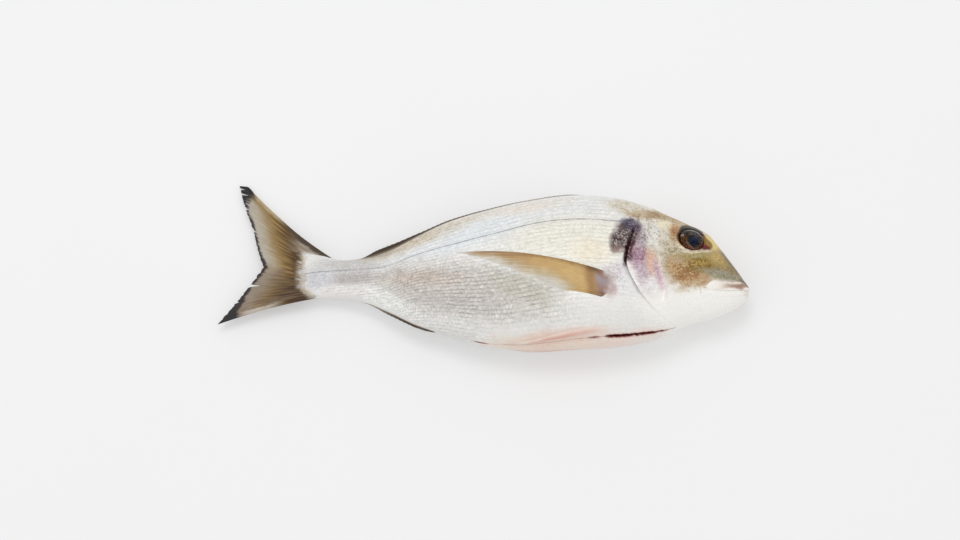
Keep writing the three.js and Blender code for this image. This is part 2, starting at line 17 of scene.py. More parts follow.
import bpy
import numpy as np
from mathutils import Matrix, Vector

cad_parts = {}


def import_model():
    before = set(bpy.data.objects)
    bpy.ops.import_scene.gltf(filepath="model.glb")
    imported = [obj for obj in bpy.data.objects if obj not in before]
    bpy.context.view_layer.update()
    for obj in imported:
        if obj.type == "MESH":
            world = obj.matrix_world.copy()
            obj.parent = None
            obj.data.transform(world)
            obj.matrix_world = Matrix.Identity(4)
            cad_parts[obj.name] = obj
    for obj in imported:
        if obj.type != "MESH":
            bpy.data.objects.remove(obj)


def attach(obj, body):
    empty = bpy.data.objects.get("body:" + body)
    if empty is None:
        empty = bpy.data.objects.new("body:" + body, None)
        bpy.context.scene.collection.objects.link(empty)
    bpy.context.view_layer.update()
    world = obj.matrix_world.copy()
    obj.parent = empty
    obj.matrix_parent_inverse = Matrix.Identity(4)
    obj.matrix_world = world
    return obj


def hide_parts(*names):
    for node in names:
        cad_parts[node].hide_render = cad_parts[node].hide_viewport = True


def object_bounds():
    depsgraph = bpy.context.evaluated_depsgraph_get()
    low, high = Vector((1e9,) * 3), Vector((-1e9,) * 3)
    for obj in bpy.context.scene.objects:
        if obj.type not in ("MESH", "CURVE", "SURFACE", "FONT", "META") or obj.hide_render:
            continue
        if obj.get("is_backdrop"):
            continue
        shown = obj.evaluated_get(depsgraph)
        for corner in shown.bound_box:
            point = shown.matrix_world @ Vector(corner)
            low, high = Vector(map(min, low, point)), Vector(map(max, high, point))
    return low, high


Array = np.ndarray
Rows = tuple[tuple[float, ...], ...]
Colour = tuple[float, float, float]

LOG = logging.getLogger("fish")
MM = 0.001
BODY = "root"
BAKE_MAP = "OFBake"
SCALE_MAP = "Scales"
TINT = "tint"
FLECK = "fleck"
LEFT_ROWS = 200.0    # the scale rows of the left flank are counted from here
HEAD_ROWS = 50.5     # and those of the head from here, far from either lateral line
WET_FILM = 0.03      # the light that a wet film throws back over any colour
FULL_LIGHT = 0.95    # the light on a surface that faces up


class Side(Enum):
    """The two flanks; the value is the sign of z."""

    RIGHT = 1
    LEFT = -1


class Slot(Enum):
    """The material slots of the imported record."""

    SKIN = "skin"
    FINS = "fins"
    EYE = "eye"


# ---------------------------------------------------------------- small mathematics


def smoothstep(value: Array, low: float, high: float) -> Array:
    """Eases from 0 at low to 1 at high.

    Args:
        value: the numbers to ease.
        low: where the result leaves 0.
        high: where the result reaches 1.

    Returns:
        The eased numbers, from 0 to 1.
    """
    share = np.clip((value - low) / (high - low), 0.0, 1.0)
    return share * share * (3.0 - 2.0 * share)


def lerp(start: Array, end: Array, share: Array) -> Array:
    """A straight blend from start to end."""
    return start + (end - start) * share


def bump(distance: Array, reach: float) -> Array:
    """A round hump: 1 at no distance and 0 from reach on."""
    share = np.clip(np.abs(distance) / reach, 0.0, 1.0)
    return np.cos(share * math.pi / 2.0) ** 2


def linear(colour: Array) -> Array:
    """Turns display colours from 0 to 255 into linear light.

    Args:
        colour: the display colours, in any shape.

    Returns:
        The same colours as linear light from 0 to 1.
    """
    share = np.clip(np.asarray(colour, float) / 255.0, 0.0, 1.0)
    return np.where(share <= 0.04045, share / 12.92, ((share + 0.055) / 1.055) ** 2.4)


def albedo(colour: Array) -> Array:
    """Turns display colours into what a wet surface has to scatter to show them in full light.

    Args:
        colour: the display colours, in any shape.

    Returns:
        Linear light less the share that the wet film adds, from nearly 0 to 1.
    """
    return np.clip((linear(colour) - WET_FILM) / FULL_LIGHT, 0.003, 1.0)


class Curve:
    """A smooth curve through (place, value) rows that never overshoots them."""

    def __init__(self, rows: Rows, column: int = 1) -> None:
        """Keeps the rows and works out the slope at each.

        Args:
            rows: the rows, their places rising.
            column: which number of a row is its value.
        """
        self.places = np.array([row[0] for row in rows], float)
        self.values = np.array([row[column] for row in rows], float)
        self.spans = np.diff(self.places)
        slopes = np.diff(self.values) / self.spans
        self.tangents = np.concatenate([slopes[:1], np.zeros(len(rows) - 2), slopes[-1:]])
        for i in range(1, len(rows) - 1):
            if slopes[i - 1] * slopes[i] > 0:
                w1 = 2 * self.spans[i] + self.spans[i - 1]
                w2 = self.spans[i] + 2 * self.spans[i - 1]
                self.tangents[i] = (w1 + w2) / (w1 / slopes[i - 1] + w2 / slopes[i])

    def __call__(self, place: Array) -> Array:
        """The curve's value at one or many places, held beyond its ends.

        Args:
            place: where to read the curve.

        Returns:
            The values there.
        """
        x = np.clip(np.asarray(place, float), self.places[0], self.places[-1])
        i = np.clip(np.searchsorted(self.places, x) - 1, 0, len(self.spans) - 1)
        u = (x - self.places[i]) / self.spans[i]
        u2, u3 = u * u, u * u * u
        return (
            (2 * u3 - 3 * u2 + 1) * self.values[i]
            + (u3 - 2 * u2 + u) * self.spans[i] * self.tangents[i]
            + (3 * u2 - 2 * u3) * self.values[i + 1]
            + (u3 - u2) * self.spans[i] * self.tangents[i + 1]
        )


class Grain:
    """Smooth seeded noise in space, from -1 to 1."""

    SIZE = 32

    def __init__(self, seed: int) -> None:
        """Draws the noise's lattice from a seed."""
        self.lattice = np.random.default_rng(seed).uniform(-1, 1, (self.SIZE,) * 3)

    def __call__(self, points: Array, size: float) -> Array:
        """Reads the noise.

        Args:
            points: places in millimetres, the last axis x, y, z.
            size: the size of one lump, in millimetres.

        Returns:
            One number for each place.
        """
        scaled = points / size
        cell = np.floor(scaled).astype(int)
        part = scaled - cell
        part = part * part * (3 - 2 * part)
        total = np.zeros(points.shape[:-1])
        for corner in range(8):
            step = np.array([corner & 1, corner >> 1 & 1, corner >> 2 & 1])
            weight = np.prod(np.where(step == 1, part, 1 - part), axis=-1)
            index = (cell + step) % self.SIZE
            total += weight * self.lattice[index[..., 0], index[..., 1], index[..., 2]]
        return total


# ---------------------------------------------------------------- the form of the fish


@dataclass(frozen=True)
class Section:
    """The body's cross-section at one or many places behind the snout."""

    top: Array
    bottom: Array
    level: Array
    half: Array
    rise: Array


@dataclass(frozen=True)
class FishForm:
    """The body's skin, without scales and folds."""

    length: float = 277.0
    widest: float = 0.53
    back_rise: float = 2.1
    back_side: float = 1.9
    belly_side: float = 2.1
    # distance behind the snout, back, belly, half thickness
    stations: Rows = (
        (0, -21.5, -21.5, 0),
        (0.6, -18.6, -25.2, 3),
        (2.5, -15.5, -29, 5),
        (5.6, -10.5, -32, 7.3),
        (11.8, -1, -36, 10.2),
        (18, 8, -39, 12),
        (24.2, 16.2, -41, 13.5),
        (36.6, 23.2, -44.5, 15.7),
        (49, 29.2, -50.5, 17.5),
        (61.4, 35.3, -55.3, 19),
        (80, 41, -59, 21),
        (104, 43.2, -60.8, 21.4),
        (135.8, 39, -61.2, 20.7),
        (160.6, 33.6, -58.8, 18.8),
        (185.4, 26.4, -51, 15.4),
        (204, 17.6, -44.5, 12.4),
        (222.6, 8, -34.5, 9.9),
        (235, 3.8, -28, 8.6),
        (250, 2, -24.2, 7.2),
        (265, 6, -23.2, 5.2),
        (277, 8.7, -23.5, 1.1),
    )
    belly_rises: Rows = ((0, 2.2), (30, 2.3), (60, 3.2), (150, 3.2), (180, 2.4), (277, 2.2))
    unevenness: float = 0.3
    lump: float = 22.0
    lateral_rows: Rows = (
        (60, 18),
        (84.9, 17),
        (98.6, 17.9),
        (117.2, 17.2),
        (129.6, 15.7),
        (154.4, 10),
        (179.2, 4.8),
        (204, -0.2),
        (228.8, -7.6),
        (253.6, -7.9),
        (277, -7.2),
    )

    @cached_property
    def back(self) -> Curve:
        """The level of the back."""
        return Curve(self.stations, 1)

    @cached_property
    def belly(self) -> Curve:
        """The level of the keel."""
        return Curve(self.stations, 2)

    @cached_property
    def halves(self) -> Curve:
        """Half the thickness."""
        return Curve(self.stations, 3)

    @cached_property
    def rises(self) -> Curve:
        """How blunt the belly is."""
        return Curve(self.belly_rises)

    @cached_property
    def lateral(self) -> Curve:
        """The level of the lateral line."""
        return Curve(self.lateral_rows)

    @cached_property
    def lumps(self) -> Grain:
        """The noise of the flesh's soft unevenness."""
        return Grain(12)

    def swell(self, points: Array) -> Array:
        """The soft unevenness of the flesh, which the folded fins follow too.

        Args:
            points: places in the fish frame.

        Returns:
            Heights over the plain skin.
        """
        t = -points[..., 0]
        shown = smoothstep(t, 80, 110) * (1 - smoothstep(t, 230, 260))
        return self.unevenness * self.lumps(points, self.lump) * shown

    def section(self, t: Array) -> Section:
        """The cross-section at t.

        Args:
            t: places behind the snout.

        Returns:
            The section's levels and sizes there.
        """
        top, bottom = self.back(t), self.belly(t)
        return Section(top, bottom, lerp(bottom, top, self.widest), self.halves(t), self.rises(t))

    def half_at(self, t: Array, y: Array) -> Array:
        """Half the body's thickness at a level.

        Args:
            t: places behind the snout.
            y: levels there.

        Returns:
            The distance from the middle plane to the skin.
        """
        s = self.section(t)
        above = y > s.level
        height = np.where(above, s.top - s.level, s.level - s.bottom)
        share = np.clip(np.abs(y - s.level) / np.maximum(height, 1e-6), 0, 1)
        rise = np.where(above, self.back_rise, s.rise)
        side = np.where(above, self.back_side, self.belly_side)
        return s.half * np.maximum(0, 1 - share**rise) ** (1 / side)

    def loop_point(self, t: Array, angle: Array) -> tuple[Array, Array]:
        """A point of the section's outline.

        Args:
            t: places behind the snout.
            angle: -90 degrees at the keel, 0 at the right flank, 90 at the back, 180 at the left flank, in radians.

        Returns:
            The point's y and z.
        """
        s = self.section(t)
        up, out = np.sin(angle), np.cos(angle)
        above = up >= 0
        rise = np.where(above, self.back_rise, s.rise)
        side = np.where(above, self.back_side, self.belly_side)
        height = np.where(above, s.top - s.level, s.level - s.bottom)
        y = s.level + np.sign(up) * height * np.abs(up) ** (2 / rise)
        return y, s.half * np.sign(out) * np.abs(out) ** (2 / side)

    def belly_at(self, t: Array, z: Array) -> Array:
        """The level of the belly's skin beside the keel.

        Args:
            t: places behind the snout.
            z: offsets from the keel.

        Returns:
            The levels there.
        """
        s = self.section(t)
        share = np.clip(np.abs(z) / s.half, 0, 1)
        return s.level - (s.level - s.bottom) * (1 - share**self.belly_side) ** (1 / s.rise)

    def on_flank(self, t: Array, y: Array, side: Side, lift: Array = 0.0) -> tuple[Array, Array]:
        """A point over the skin of a flank.

        Args:
            t: places behind the snout.
            y: levels there.
            side: the flank.
            lift: height over the skin.

        Returns:
            The points and the skin's outward normals there.
        """
        step = 0.05

        def square(tt: Array, yy: Array) -> Array:
            """The squared half thickness, whose slopes stay finite at the edges."""
            return self.half_at(tt, yy) ** 2

        t, y = np.broadcast_arrays(np.asarray(t, float), np.asarray(y, float))
        half = self.half_at(t, y)
        along = (square(t + step, y) - square(t - step, y)) / (2 * step)
        upward = (square(t, y + step) - square(t, y - step)) / (2 * step)
        normal = np.stack([along, -upward, 2 * side.value * np.maximum(0.05, half)], axis=-1)
        normal /= np.linalg.norm(normal, axis=-1, keepdims=True)
        point = np.stack([-t, y, side.value * half], axis=-1)
        return point + normal * np.asarray(lift)[..., None], normal

    def on_belly(self, t: Array, z: Array, lift: Array = 0.0) -> tuple[Array, Array]:
        """A point over the skin of the belly.

        Args:
            t: places behind the snout.
            z: offsets from the keel.
            lift: height over the skin.

        Returns:
            The points and the skin's outward normals there.
        """
        step = 0.05
        y = self.belly_at(t, z)
        slope = (self.belly_at(t, z + step) - self.belly_at(t, z - step)) / (2 * step)
        normal = np.stack([np.zeros_like(y), -np.ones_like(y), slope], axis=-1)
        normal /= np.linalg.norm(normal, axis=-1, keepdims=True)
        point = np.stack([-t + np.zeros_like(y), y, z + np.zeros_like(y)], axis=-1)
        return point + normal * np.asarray(lift)[..., None], normal


@dataclass(frozen=True)
class Gill:
    """The margin of the gill covers and the step there."""

    station: float = 70.0
    apex_t: float = 75.4
    apex_y: float = -12.3
    upper_slope: float = 0.29
    lower_slope: float = 0.29
    lower_curve: float = 0.0092
    apex_round: float = 4.0
    deepest: float = -27.0
    head_reach: float = 40.0
    trunk_reach: float = 80.0
    lift: float = 0.6
    rise: float = 22.0
    drop: float = 0.35
    fall: float = 14.0
    top: float = 14.0
    foot: float = -24.0
    fade: float = 13.0
    foot_fade: float = 24.0
    mouth_top: float = 13.0
    mouth_foot: float = -14.0
    mouth_depth: float = 1.9
    mouth_width: float = 3.6

    def shift(self, y: Array) -> Array:
        """How far the margin lies behind its station at a level."""
        rise = y - self.apex_y
        rounded = np.hypot(rise, self.apex_round) - self.apex_round
        below = self.lower_slope * rounded + self.lower_curve * rise**2
        away = np.where(rise > 0, self.upper_slope * rounded, below)
        return np.maximum(self.deepest, self.apex_t - away - self.station)

    def bend(self, ring: Array, y: Array) -> Array:
        """Where a ring of the skin lies once it is bent to the margin.

        Args:
            ring: the rings' places.
            y: the levels of their points before the bend.

        Returns:
            The places behind the snout.
        """
        past = ring - self.station
        reach = np.where(past > 0, self.trunk_reach, self.head_reach)
        share = np.clip(np.abs(past) / reach, 0, 1)
        pull = 1 - share * share * (3 - 2 * share)
        return ring + pull * self.shift(y)

    def step_fade(self, y: Array) -> Array:
        """1 where the cover stands off the flesh, 0 on the nape and under the throat."""
        upper = 1 - smoothstep(y, self.top, self.top + self.fade)
        return upper * smoothstep(y, self.foot - self.foot_fade, self.foot)

    def mouth(self, y: Array) -> Array:
        """1 where the gill opening gapes."""
        upper = 1 - smoothstep(y, self.mouth_top - 4, self.mouth_top + 3)
        return upper * smoothstep(y, self.mouth_foot - 3, self.mouth_foot + 3)

    def trunk_relief(self, past: Array, y: Array) -> Array:
        """How deep the flesh lies behind the margin.

        Args:
            past: distance behind the margin.
            y: levels.

        Returns:
            Heights over the plain skin, below zero.
        """
        step = -self.drop * (1 - smoothstep(past, 0, self.fall)) * self.step_fade(y)
        gape = -self.mouth_depth * (1 - smoothstep(past, self.mouth_width * 0.35, self.mouth_width)) * self.mouth(y)
        tuck = -0.05 - 1.6 * smoothstep(-past, 0, 5)
        return step + gape + np.where(past < 0.4, tuck, 0.0)


@dataclass(frozen=True)
class Pose:
    """How the fish lies: rolled onto its left flank, its tail sinking towards the table."""

    roll: float = math.radians(4)
    press_height: float = 4.0
    rest_height: float = 1.6
    midline_rows: Rows = (
        (0, 19),
        (60, 19.5),
        (110, 20.3),
        (140, 19.5),
        (170, 17.4),
        (200, 15),
        (230, 12.4),
        (277, 9.5),
        (330, 6),
    )
    offset: tuple[float, float] = (0.0, 0.0)

    @cached_property
    def midline(self) -> Curve:
        """The height of the middle plane along the body."""
        return Curve(self.midline_rows)

    def lay_down(self, points: Array) -> Array:
        """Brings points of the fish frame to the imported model's frame.

        Args:
            points: places in millimetres in the fish frame.

        Returns:
            The places in metres in the model's frame.
        """
        x, y, z = points[:, 0], points[:, 1], points[:, 2]
        cos, sin = math.cos(self.roll), math.sin(self.roll)
        height = self.midline(-x) + z * cos - y * sin
        low = self.press_height * np.exp(np.minimum(0, height - self.press_height) / self.press_height)
        height = np.maximum(np.where(height < self.press_height, low, height), self.rest_height)
        across = y * cos + z * sin
        laid = [x + self.offset[0], across + self.offset[1], height - self.rest_height]
        return np.stack(laid, axis=1) * MM


# ---------------------------------------------------------------- modelling


@dataclass
class Wrapped:
    """A grid primitive wrapped over a rectangle of places, with the row and column of each vertex."""

    piece: bpy.types.Object
    rows: Array
    columns: Array


class Bench:
    """The modelling steps that the pieces share."""

    @staticmethod
    def only(piece: bpy.types.Object) -> None:
        """Selects one object and nothing else."""
        bpy.ops.object.select_all(action="DESELECT")
        piece.select_set(True)
        bpy.context.view_layer.objects.active = piece

    @staticmethod
    def wrap(name: str, skin: Array, scales: Optional[Array] = None) -> Wrapped:
        """Wraps a grid primitive over a rectangle of places.

        Args:
            name: the piece's name.
            skin: places in millimetres, rows by columns by x, y, z.
            scales: the scale pattern's coordinates at the same places.

        Returns:
            The new object, still open at its seams, and its vertices' rows and columns.
        """
        rows, columns = skin.shape[0] - 1, skin.shape[1] - 1
        bpy.ops.object.select_all(action="DESELECT")
        bpy.ops.mesh.primitive_grid_add(x_subdivisions=rows, y_subdivisions=columns, size=1, calc_uvs=True)
        piece = bpy.context.object
        piece.name = piece.data.name = name
        mesh = piece.data
        mesh.uv_layers[0].name = BAKE_MAP
        flat = Bench.places(piece)
        i = np.rint((flat[:, 0] + 0.5) * rows).astype(int)
        j = np.rint((flat[:, 1] + 0.5) * columns).astype(int)
        Bench.move(piece, skin[i, j])
        if scales is not None:
            corners = np.empty(len(mesh.loops), int)
            mesh.loops.foreach_get("vertex_index", corners)
            layer = mesh.uv_layers.new(name=SCALE_MAP)
            layer.data.foreach_set("uv", scales[i, j][corners].ravel().astype(np.float32))
            mesh.uv_layers.active = mesh.uv_layers[BAKE_MAP]
        return Wrapped(piece, i, j)

    @staticmethod
    def places(piece: bpy.types.Object) -> Array:
        """The places of a piece's vertices."""
        flat = np.empty(len(piece.data.vertices) * 3)
        piece.data.vertices.foreach_get("co", flat)
        return flat.reshape(-1, 3)

    @staticmethod
    def move(piece: bpy.types.Object, places: Array) -> None:
        """Moves a piece's vertices to new places."""
        piece.data.vertices.foreach_set("co", places.astype(np.float32).ravel())
        piece.data.update()

    @staticmethod
    def seal(piece: bpy.types.Object, gap: float = 1e-4) -> None:
        """Merges a piece's seams, fills its open ends and turns its faces out.

        Args:
            piece: the piece.
            gap: what lies closer than this is one vertex.
        """
        Bench.only(piece)
        bpy.ops.object.mode_set(mode="EDIT")
        bpy.ops.mesh.select_all(action="SELECT")
        bpy.ops.mesh.remove_doubles(threshold=gap)
        bpy.ops.mesh.fill_holes(sides=0)
        bpy.ops.mesh.select_all(action="SELECT")
        bpy.ops.mesh.normals_make_consistent(inside=False)
        bpy.ops.object.mode_set(mode="OBJECT")

    @staticmethod
    def colour(piece: bpy.types.Object, name: str, values: Array) -> None:
        """Stores a colour for each vertex.

        Args:
            piece: the piece.
            name: the attribute's name.
            values: linear red, green, blue and a fourth number for each vertex.
        """
        layer = piece.data.color_attributes.new(name=name, type="FLOAT_COLOR", domain="POINT")
        layer.data.foreach_set("color", values.astype(np.float32).ravel())

    @staticmethod
    def apply(piece: bpy.types.Object, kind: str, **settings: object) -> None:
        """Adds a modifier and applies it.

        Args:
            piece: the piece.
            kind: the modifier's type.
            **settings: its settings.
        """
        Bench.only(piece)
        modifier = piece.modifiers.new(kind.lower(), kind)
        for key, value in settings.items():
            setattr(modifier, key, value)
        bpy.ops.object.modifier_apply(modifier=modifier.name)

    @staticmethod
    def smooth(piece: bpy.types.Object, degrees: float = 180.0) -> None:
        """Shades a piece smooth up to an angle between its faces."""
        Bench.only(piece)
        if degrees >= 180:
            bpy.ops.object.shade_smooth()
        else:
            bpy.ops.object.shade_smooth_by_angle(angle=math.radians(degrees))


def closed_sheet(outer: Array, inner: Array) -> Array:
    """Joins two sheets of places into rings round a thin solid.

    Args:
        outer: the upper sheet, along by across by x, y, z.
        inner: the lower sheet, of the same shape.

    Returns:
        The places round the solid, the first column repeated at the end.
    """
    return np.concatenate([outer, inner[:, ::-1], outer[:, :1]], axis=1)


def grid_normals(skin: Array) -> Array:
    """Unit normals of a rectangle of places, from its neighbours' differences.

    Args:
        skin: places, rows by columns by x, y, z.

    Returns:
        The normals, along the cross product of the row and column directions.
    """
    along = np.gradient(skin, axis=0)
    across = np.gradient(skin, axis=1)
    normal = np.cross(along, across)
    return normal / np.maximum(np.linalg.norm(normal, axis=-1, keepdims=True), 1e-9)


class Outlines:
    """The section outlines of many rings, measured along their skin from the keel up the right flank."""

    STEPS = 160

    def __init__(self, form: FishForm, rings: Array) -> None:
        """Measures the outlines.

        Args:
            form: the body's form.
            rings: the rings' places.
        """
        steps = np.linspace(0, math.pi, self.STEPS + 1)
        quarter = (math.pi / 4) * (1 - np.cos(steps))
        turns = [quarter[:-1] + (k - 1) * math.pi / 2 for k in range(4)]
        self.angle = np.concatenate(turns + [[3 * math.pi / 2]])
        self.y, self.z = form.loop_point(rings[:, None], self.angle[None, :])
        pieces = np.hypot(np.diff(self.y), np.diff(self.z))
        self.arc = np.concatenate([np.zeros((len(rings), 1)), np.cumsum(pieces, axis=1)], axis=1)

    def quarter(self, ring: int, number: int) -> float:
        """The place along a ring's outline where a quarter starts."""
        return self.arc[ring, number * self.STEPS]

    def beside_keel(self, ring: int, z: float) -> float:
        """The place along the outline at an offset to the right of the keel."""
        return float(np.interp(z, self.z[ring, : self.STEPS + 1], self.arc[ring, : self.STEPS + 1]))

    def level(self, ring: int, y: float, side: Side) -> float:
        """The place along the outline at a level of a flank."""
        middle = 2 * self.STEPS
        if side is Side.RIGHT:
            return float(np.interp(y, self.y[ring, : middle + 1], self.arc[ring, : middle + 1]))
        return float(np.interp(-y, -self.y[ring, middle:], self.arc[ring, middle:]))

    def angles(self, ring: int, places: Array) -> Array:
        """The outline angles at places along a ring's outline, which may run on past the keel."""
        total = self.arc[ring, -1]
        turns = np.floor(places / total)
        return np.interp(places - turns * total, self.arc[ring], self.angle) + turns * 2 * math.pi


# ---------------------------------------------------------------- colours


@dataclass(frozen=True)
class Patch:
    """A soft-edged oval of colour on the skin, its place as distance behind the snout and level."""

    name: str
    place: tuple[float, float]
    reach: tuple[float, float]
    colour: Colour
    turn: float = 0.0
    strength: float = 1.0
    soft: float = 0.4
    ragged: float = 0.2
    fleck: Optional[Colour] = None
    cover: float = 0.0

    def mask(self, t: Array, y: Array, noise: Array) -> Array:
        """How strongly the patch shows.

        Args:
            t: places behind the snout.
            y: levels.
            noise: what makes the patch's edge uneven, from -1 to 1.

        Returns:
            Shares from 0 to 1.
        """
        cos, sin = math.cos(math.radians(self.turn)), math.sin(math.radians(self.turn))
        dt, dy = t - self.place[0], y - self.place[1]
        away = np.hypot((dt * cos + dy * sin) / self.reach[0], (dy * cos - dt * sin) / self.reach[1])
        away = away + self.ragged * noise
        return self.strength * (1 - smoothstep(away, 1 - self.soft, 1 + self.soft))


@dataclass
class Paint:
    """Colours laid over each other on a set of points."""

    points: Array
    colour: Array
    fleck: Array = field(init=False)
    cover: Array = field(init=False)

    def __post_init__(self) -> None:
        """Starts without flecks."""
        self.fleck = self.colour.copy()
        self.cover = np.zeros(self.points.shape[:-1])
        self.coarse = Grain(3)(self.points, 5.0)
        self.fine = Grain(4)(self.points, 1.7)

    def lay(self, colour: Colour, mask: Array) -> None:
        """Lays one colour over the others.

        Args:
            colour: the display colour.
            mask: how strongly it shows at each point.
        """
        self.colour = lerp(self.colour, np.array(colour, float), np.clip(mask, 0, 1)[..., None])

    def lay_patch(self, patch: Patch, mask: Optional[Array] = None) -> None:
        """Lays an oval patch and its flecks.

        Args:
            patch: the patch.
            mask: where it may show, or all over.
        """
        t, y = -self.points[..., 0], self.points[..., 1]
        share = patch.mask(t, y, 0.6 * self.coarse + 0.4 * self.fine)
        if mask is not None:
            share = share * mask
        self.lay(patch.colour, share)
        if patch.fleck is not None:
            self.lay_fleck(patch.fleck, patch.cover, share)

    def lay_fleck(self, colour: Colour, cover: float, mask: Array) -> None:
        """Strews flecks of a colour.

        Args:
            colour: their display colour.
            cover: how much of the surface they cover.
            mask: where they lie.
        """
        share = np.clip(mask, 0, 1)
        self.fleck = lerp(self.fleck, np.array(colour, float), share[..., None])
        self.cover = lerp(self.cover, cover, share)

    def store(self, wrapped: Wrapped, scaly: Optional[Array] = None) -> None:
        """Stores the colours on a wrapped grid.

        Args:
            wrapped: the grid.
            scaly: how much of the scale pattern shows at each point, or none of it.
        """
        scaly = np.zeros_like(self.cover) if scaly is None else scaly
        tint = np.concatenate([albedo(self.colour), scaly[..., None]], axis=-1)
        fleck = np.concatenate([albedo(self.fleck), self.cover[..., None]], axis=-1)
        Bench.colour(wrapped.piece, TINT, tint[wrapped.rows, wrapped.columns])
        Bench.colour(wrapped.piece, FLECK, fleck[wrapped.rows, wrapped.columns])


# ---------------------------------------------------------------- finishes


class Graph:
    """A material's nodes, built by short calls."""

    def __init__(self, name: str) -> None:
        """Starts an empty material of that name."""
        self.material = bpy.data.materials.new(name)
        self.material.use_nodes = True
        self.tree = self.material.node_tree
        self.tree.nodes.clear()
        self.output = self.add("ShaderNodeOutputMaterial")
        self.shader = self.add("ShaderNodeBsdfPrincipled")
        self.link(self.shader.outputs["BSDF"], self.output.inputs["Surface"])

    def add(self, kind: str, **settings: object) -> bpy.types.Node:
        """Adds a node of a kind with its settings."""
        node = self.tree.nodes.new(kind)
        for key, value in settings.items():
            setattr(node, key, value)
        return node

    def link(self, source: bpy.types.NodeSocket, target: bpy.types.NodeSocket) -> None:
        """Joins two sockets."""
        self.tree.links.new(source, target)

    def feed(self, socket: bpy.types.NodeSocket, value: object) -> None:
        """Links a socket or sets its number or colour."""
        if isinstance(value, bpy.types.NodeSocket):
            self.link(value, socket)
        else:
            socket.default_value = value

    def math(self, operation: str, *values: object) -> bpy.types.NodeSocket:
        """A Math node.

        Args:
            operation: its operation.
            *values: sockets or numbers for its inputs.

        Returns:
            Its result.
        """
        node = self.add("ShaderNodeMath", operation=operation)
        for socket, value in zip(node.inputs, values):
            self.feed(socket, value)
        return node.outputs[0]

    def ease(self, value: object, low: object, high: object, start: float = 0.0, end: float = 1.0) -> bpy.types.NodeSocket:
        """A smooth step from start at low to end at high."""
        node = self.add("ShaderNodeMapRange", interpolation_type="SMOOTHSTEP")
        for socket, given in zip(node.inputs, (value, low, high, start, end)):
            self.feed(socket, given)
        return node.outputs[0]

    def mix(self, share: object, first: object, second: object, blend: str = "MIX") -> bpy.types.NodeSocket:
        """Blends two colours.

        Args:
            share: how much of the second shows.
            first: the colour below.
            second: the colour above.
            blend: the way they are blended.

        Returns:
            The blended colour.
        """
        node = self.add("ShaderNodeMix", data_type="RGBA", blend_type=blend)
        for socket, value in zip((node.inputs[0], node.inputs[6], node.inputs[7]), (share, first, second)):
            self.feed(socket, value)
        return node.outputs[2]

    def noise(self, size: float, detail: float = 2.0, stretch: Optional[Colour] = None) -> bpy.types.NodeSocket:
        """Noise on the object's own coordinates.

        Args:
            size: the size of a lump, in metres.
            detail: how many finer layers it has.
            stretch: how much longer a lump is along each axis.

        Returns:
            The noise, about 0.5.
        """
        coordinates = self.add("ShaderNodeTexCoord").outputs["Object"]
        if stretch is not None:
            mapping = self.add("ShaderNodeMapping")
            mapping.inputs["Scale"].default_value = tuple(1 / s for s in stretch)
            self.link(coordinates, mapping.inputs["Vector"])
            coordinates = mapping.outputs["Vector"]
        node = self.add("ShaderNodeTexNoise")
        self.link(coordinates, node.inputs["Vector"])
        node.inputs["Scale"].default_value = 1 / size
        node.inputs["Detail"].default_value = detail
        return node.outputs["Fac"]

    def bump(self, height: object, depth: float, strength: float = 1.0) -> None:
        """Gives the surface a fine relief.

        Args:
            height: the relief's height, from 0 to 1.
            depth: its full depth, in metres.
            strength: how much of it shows.
        """
        node = self.add("ShaderNodeBump")
        node.inputs["Strength"].default_value = strength
        node.inputs["Distance"].default_value = depth
        self.feed(node.inputs["Height"], height)
        self.link(node.outputs["Normal"], self.shader.inputs["Normal"])

    def set(self, **values: object) -> None:
        """Sets the shader's own sockets, named with underscores for spaces."""
        for key, value in values.items():
            self.feed(self.shader.inputs[key.replace("_", " ")], value)


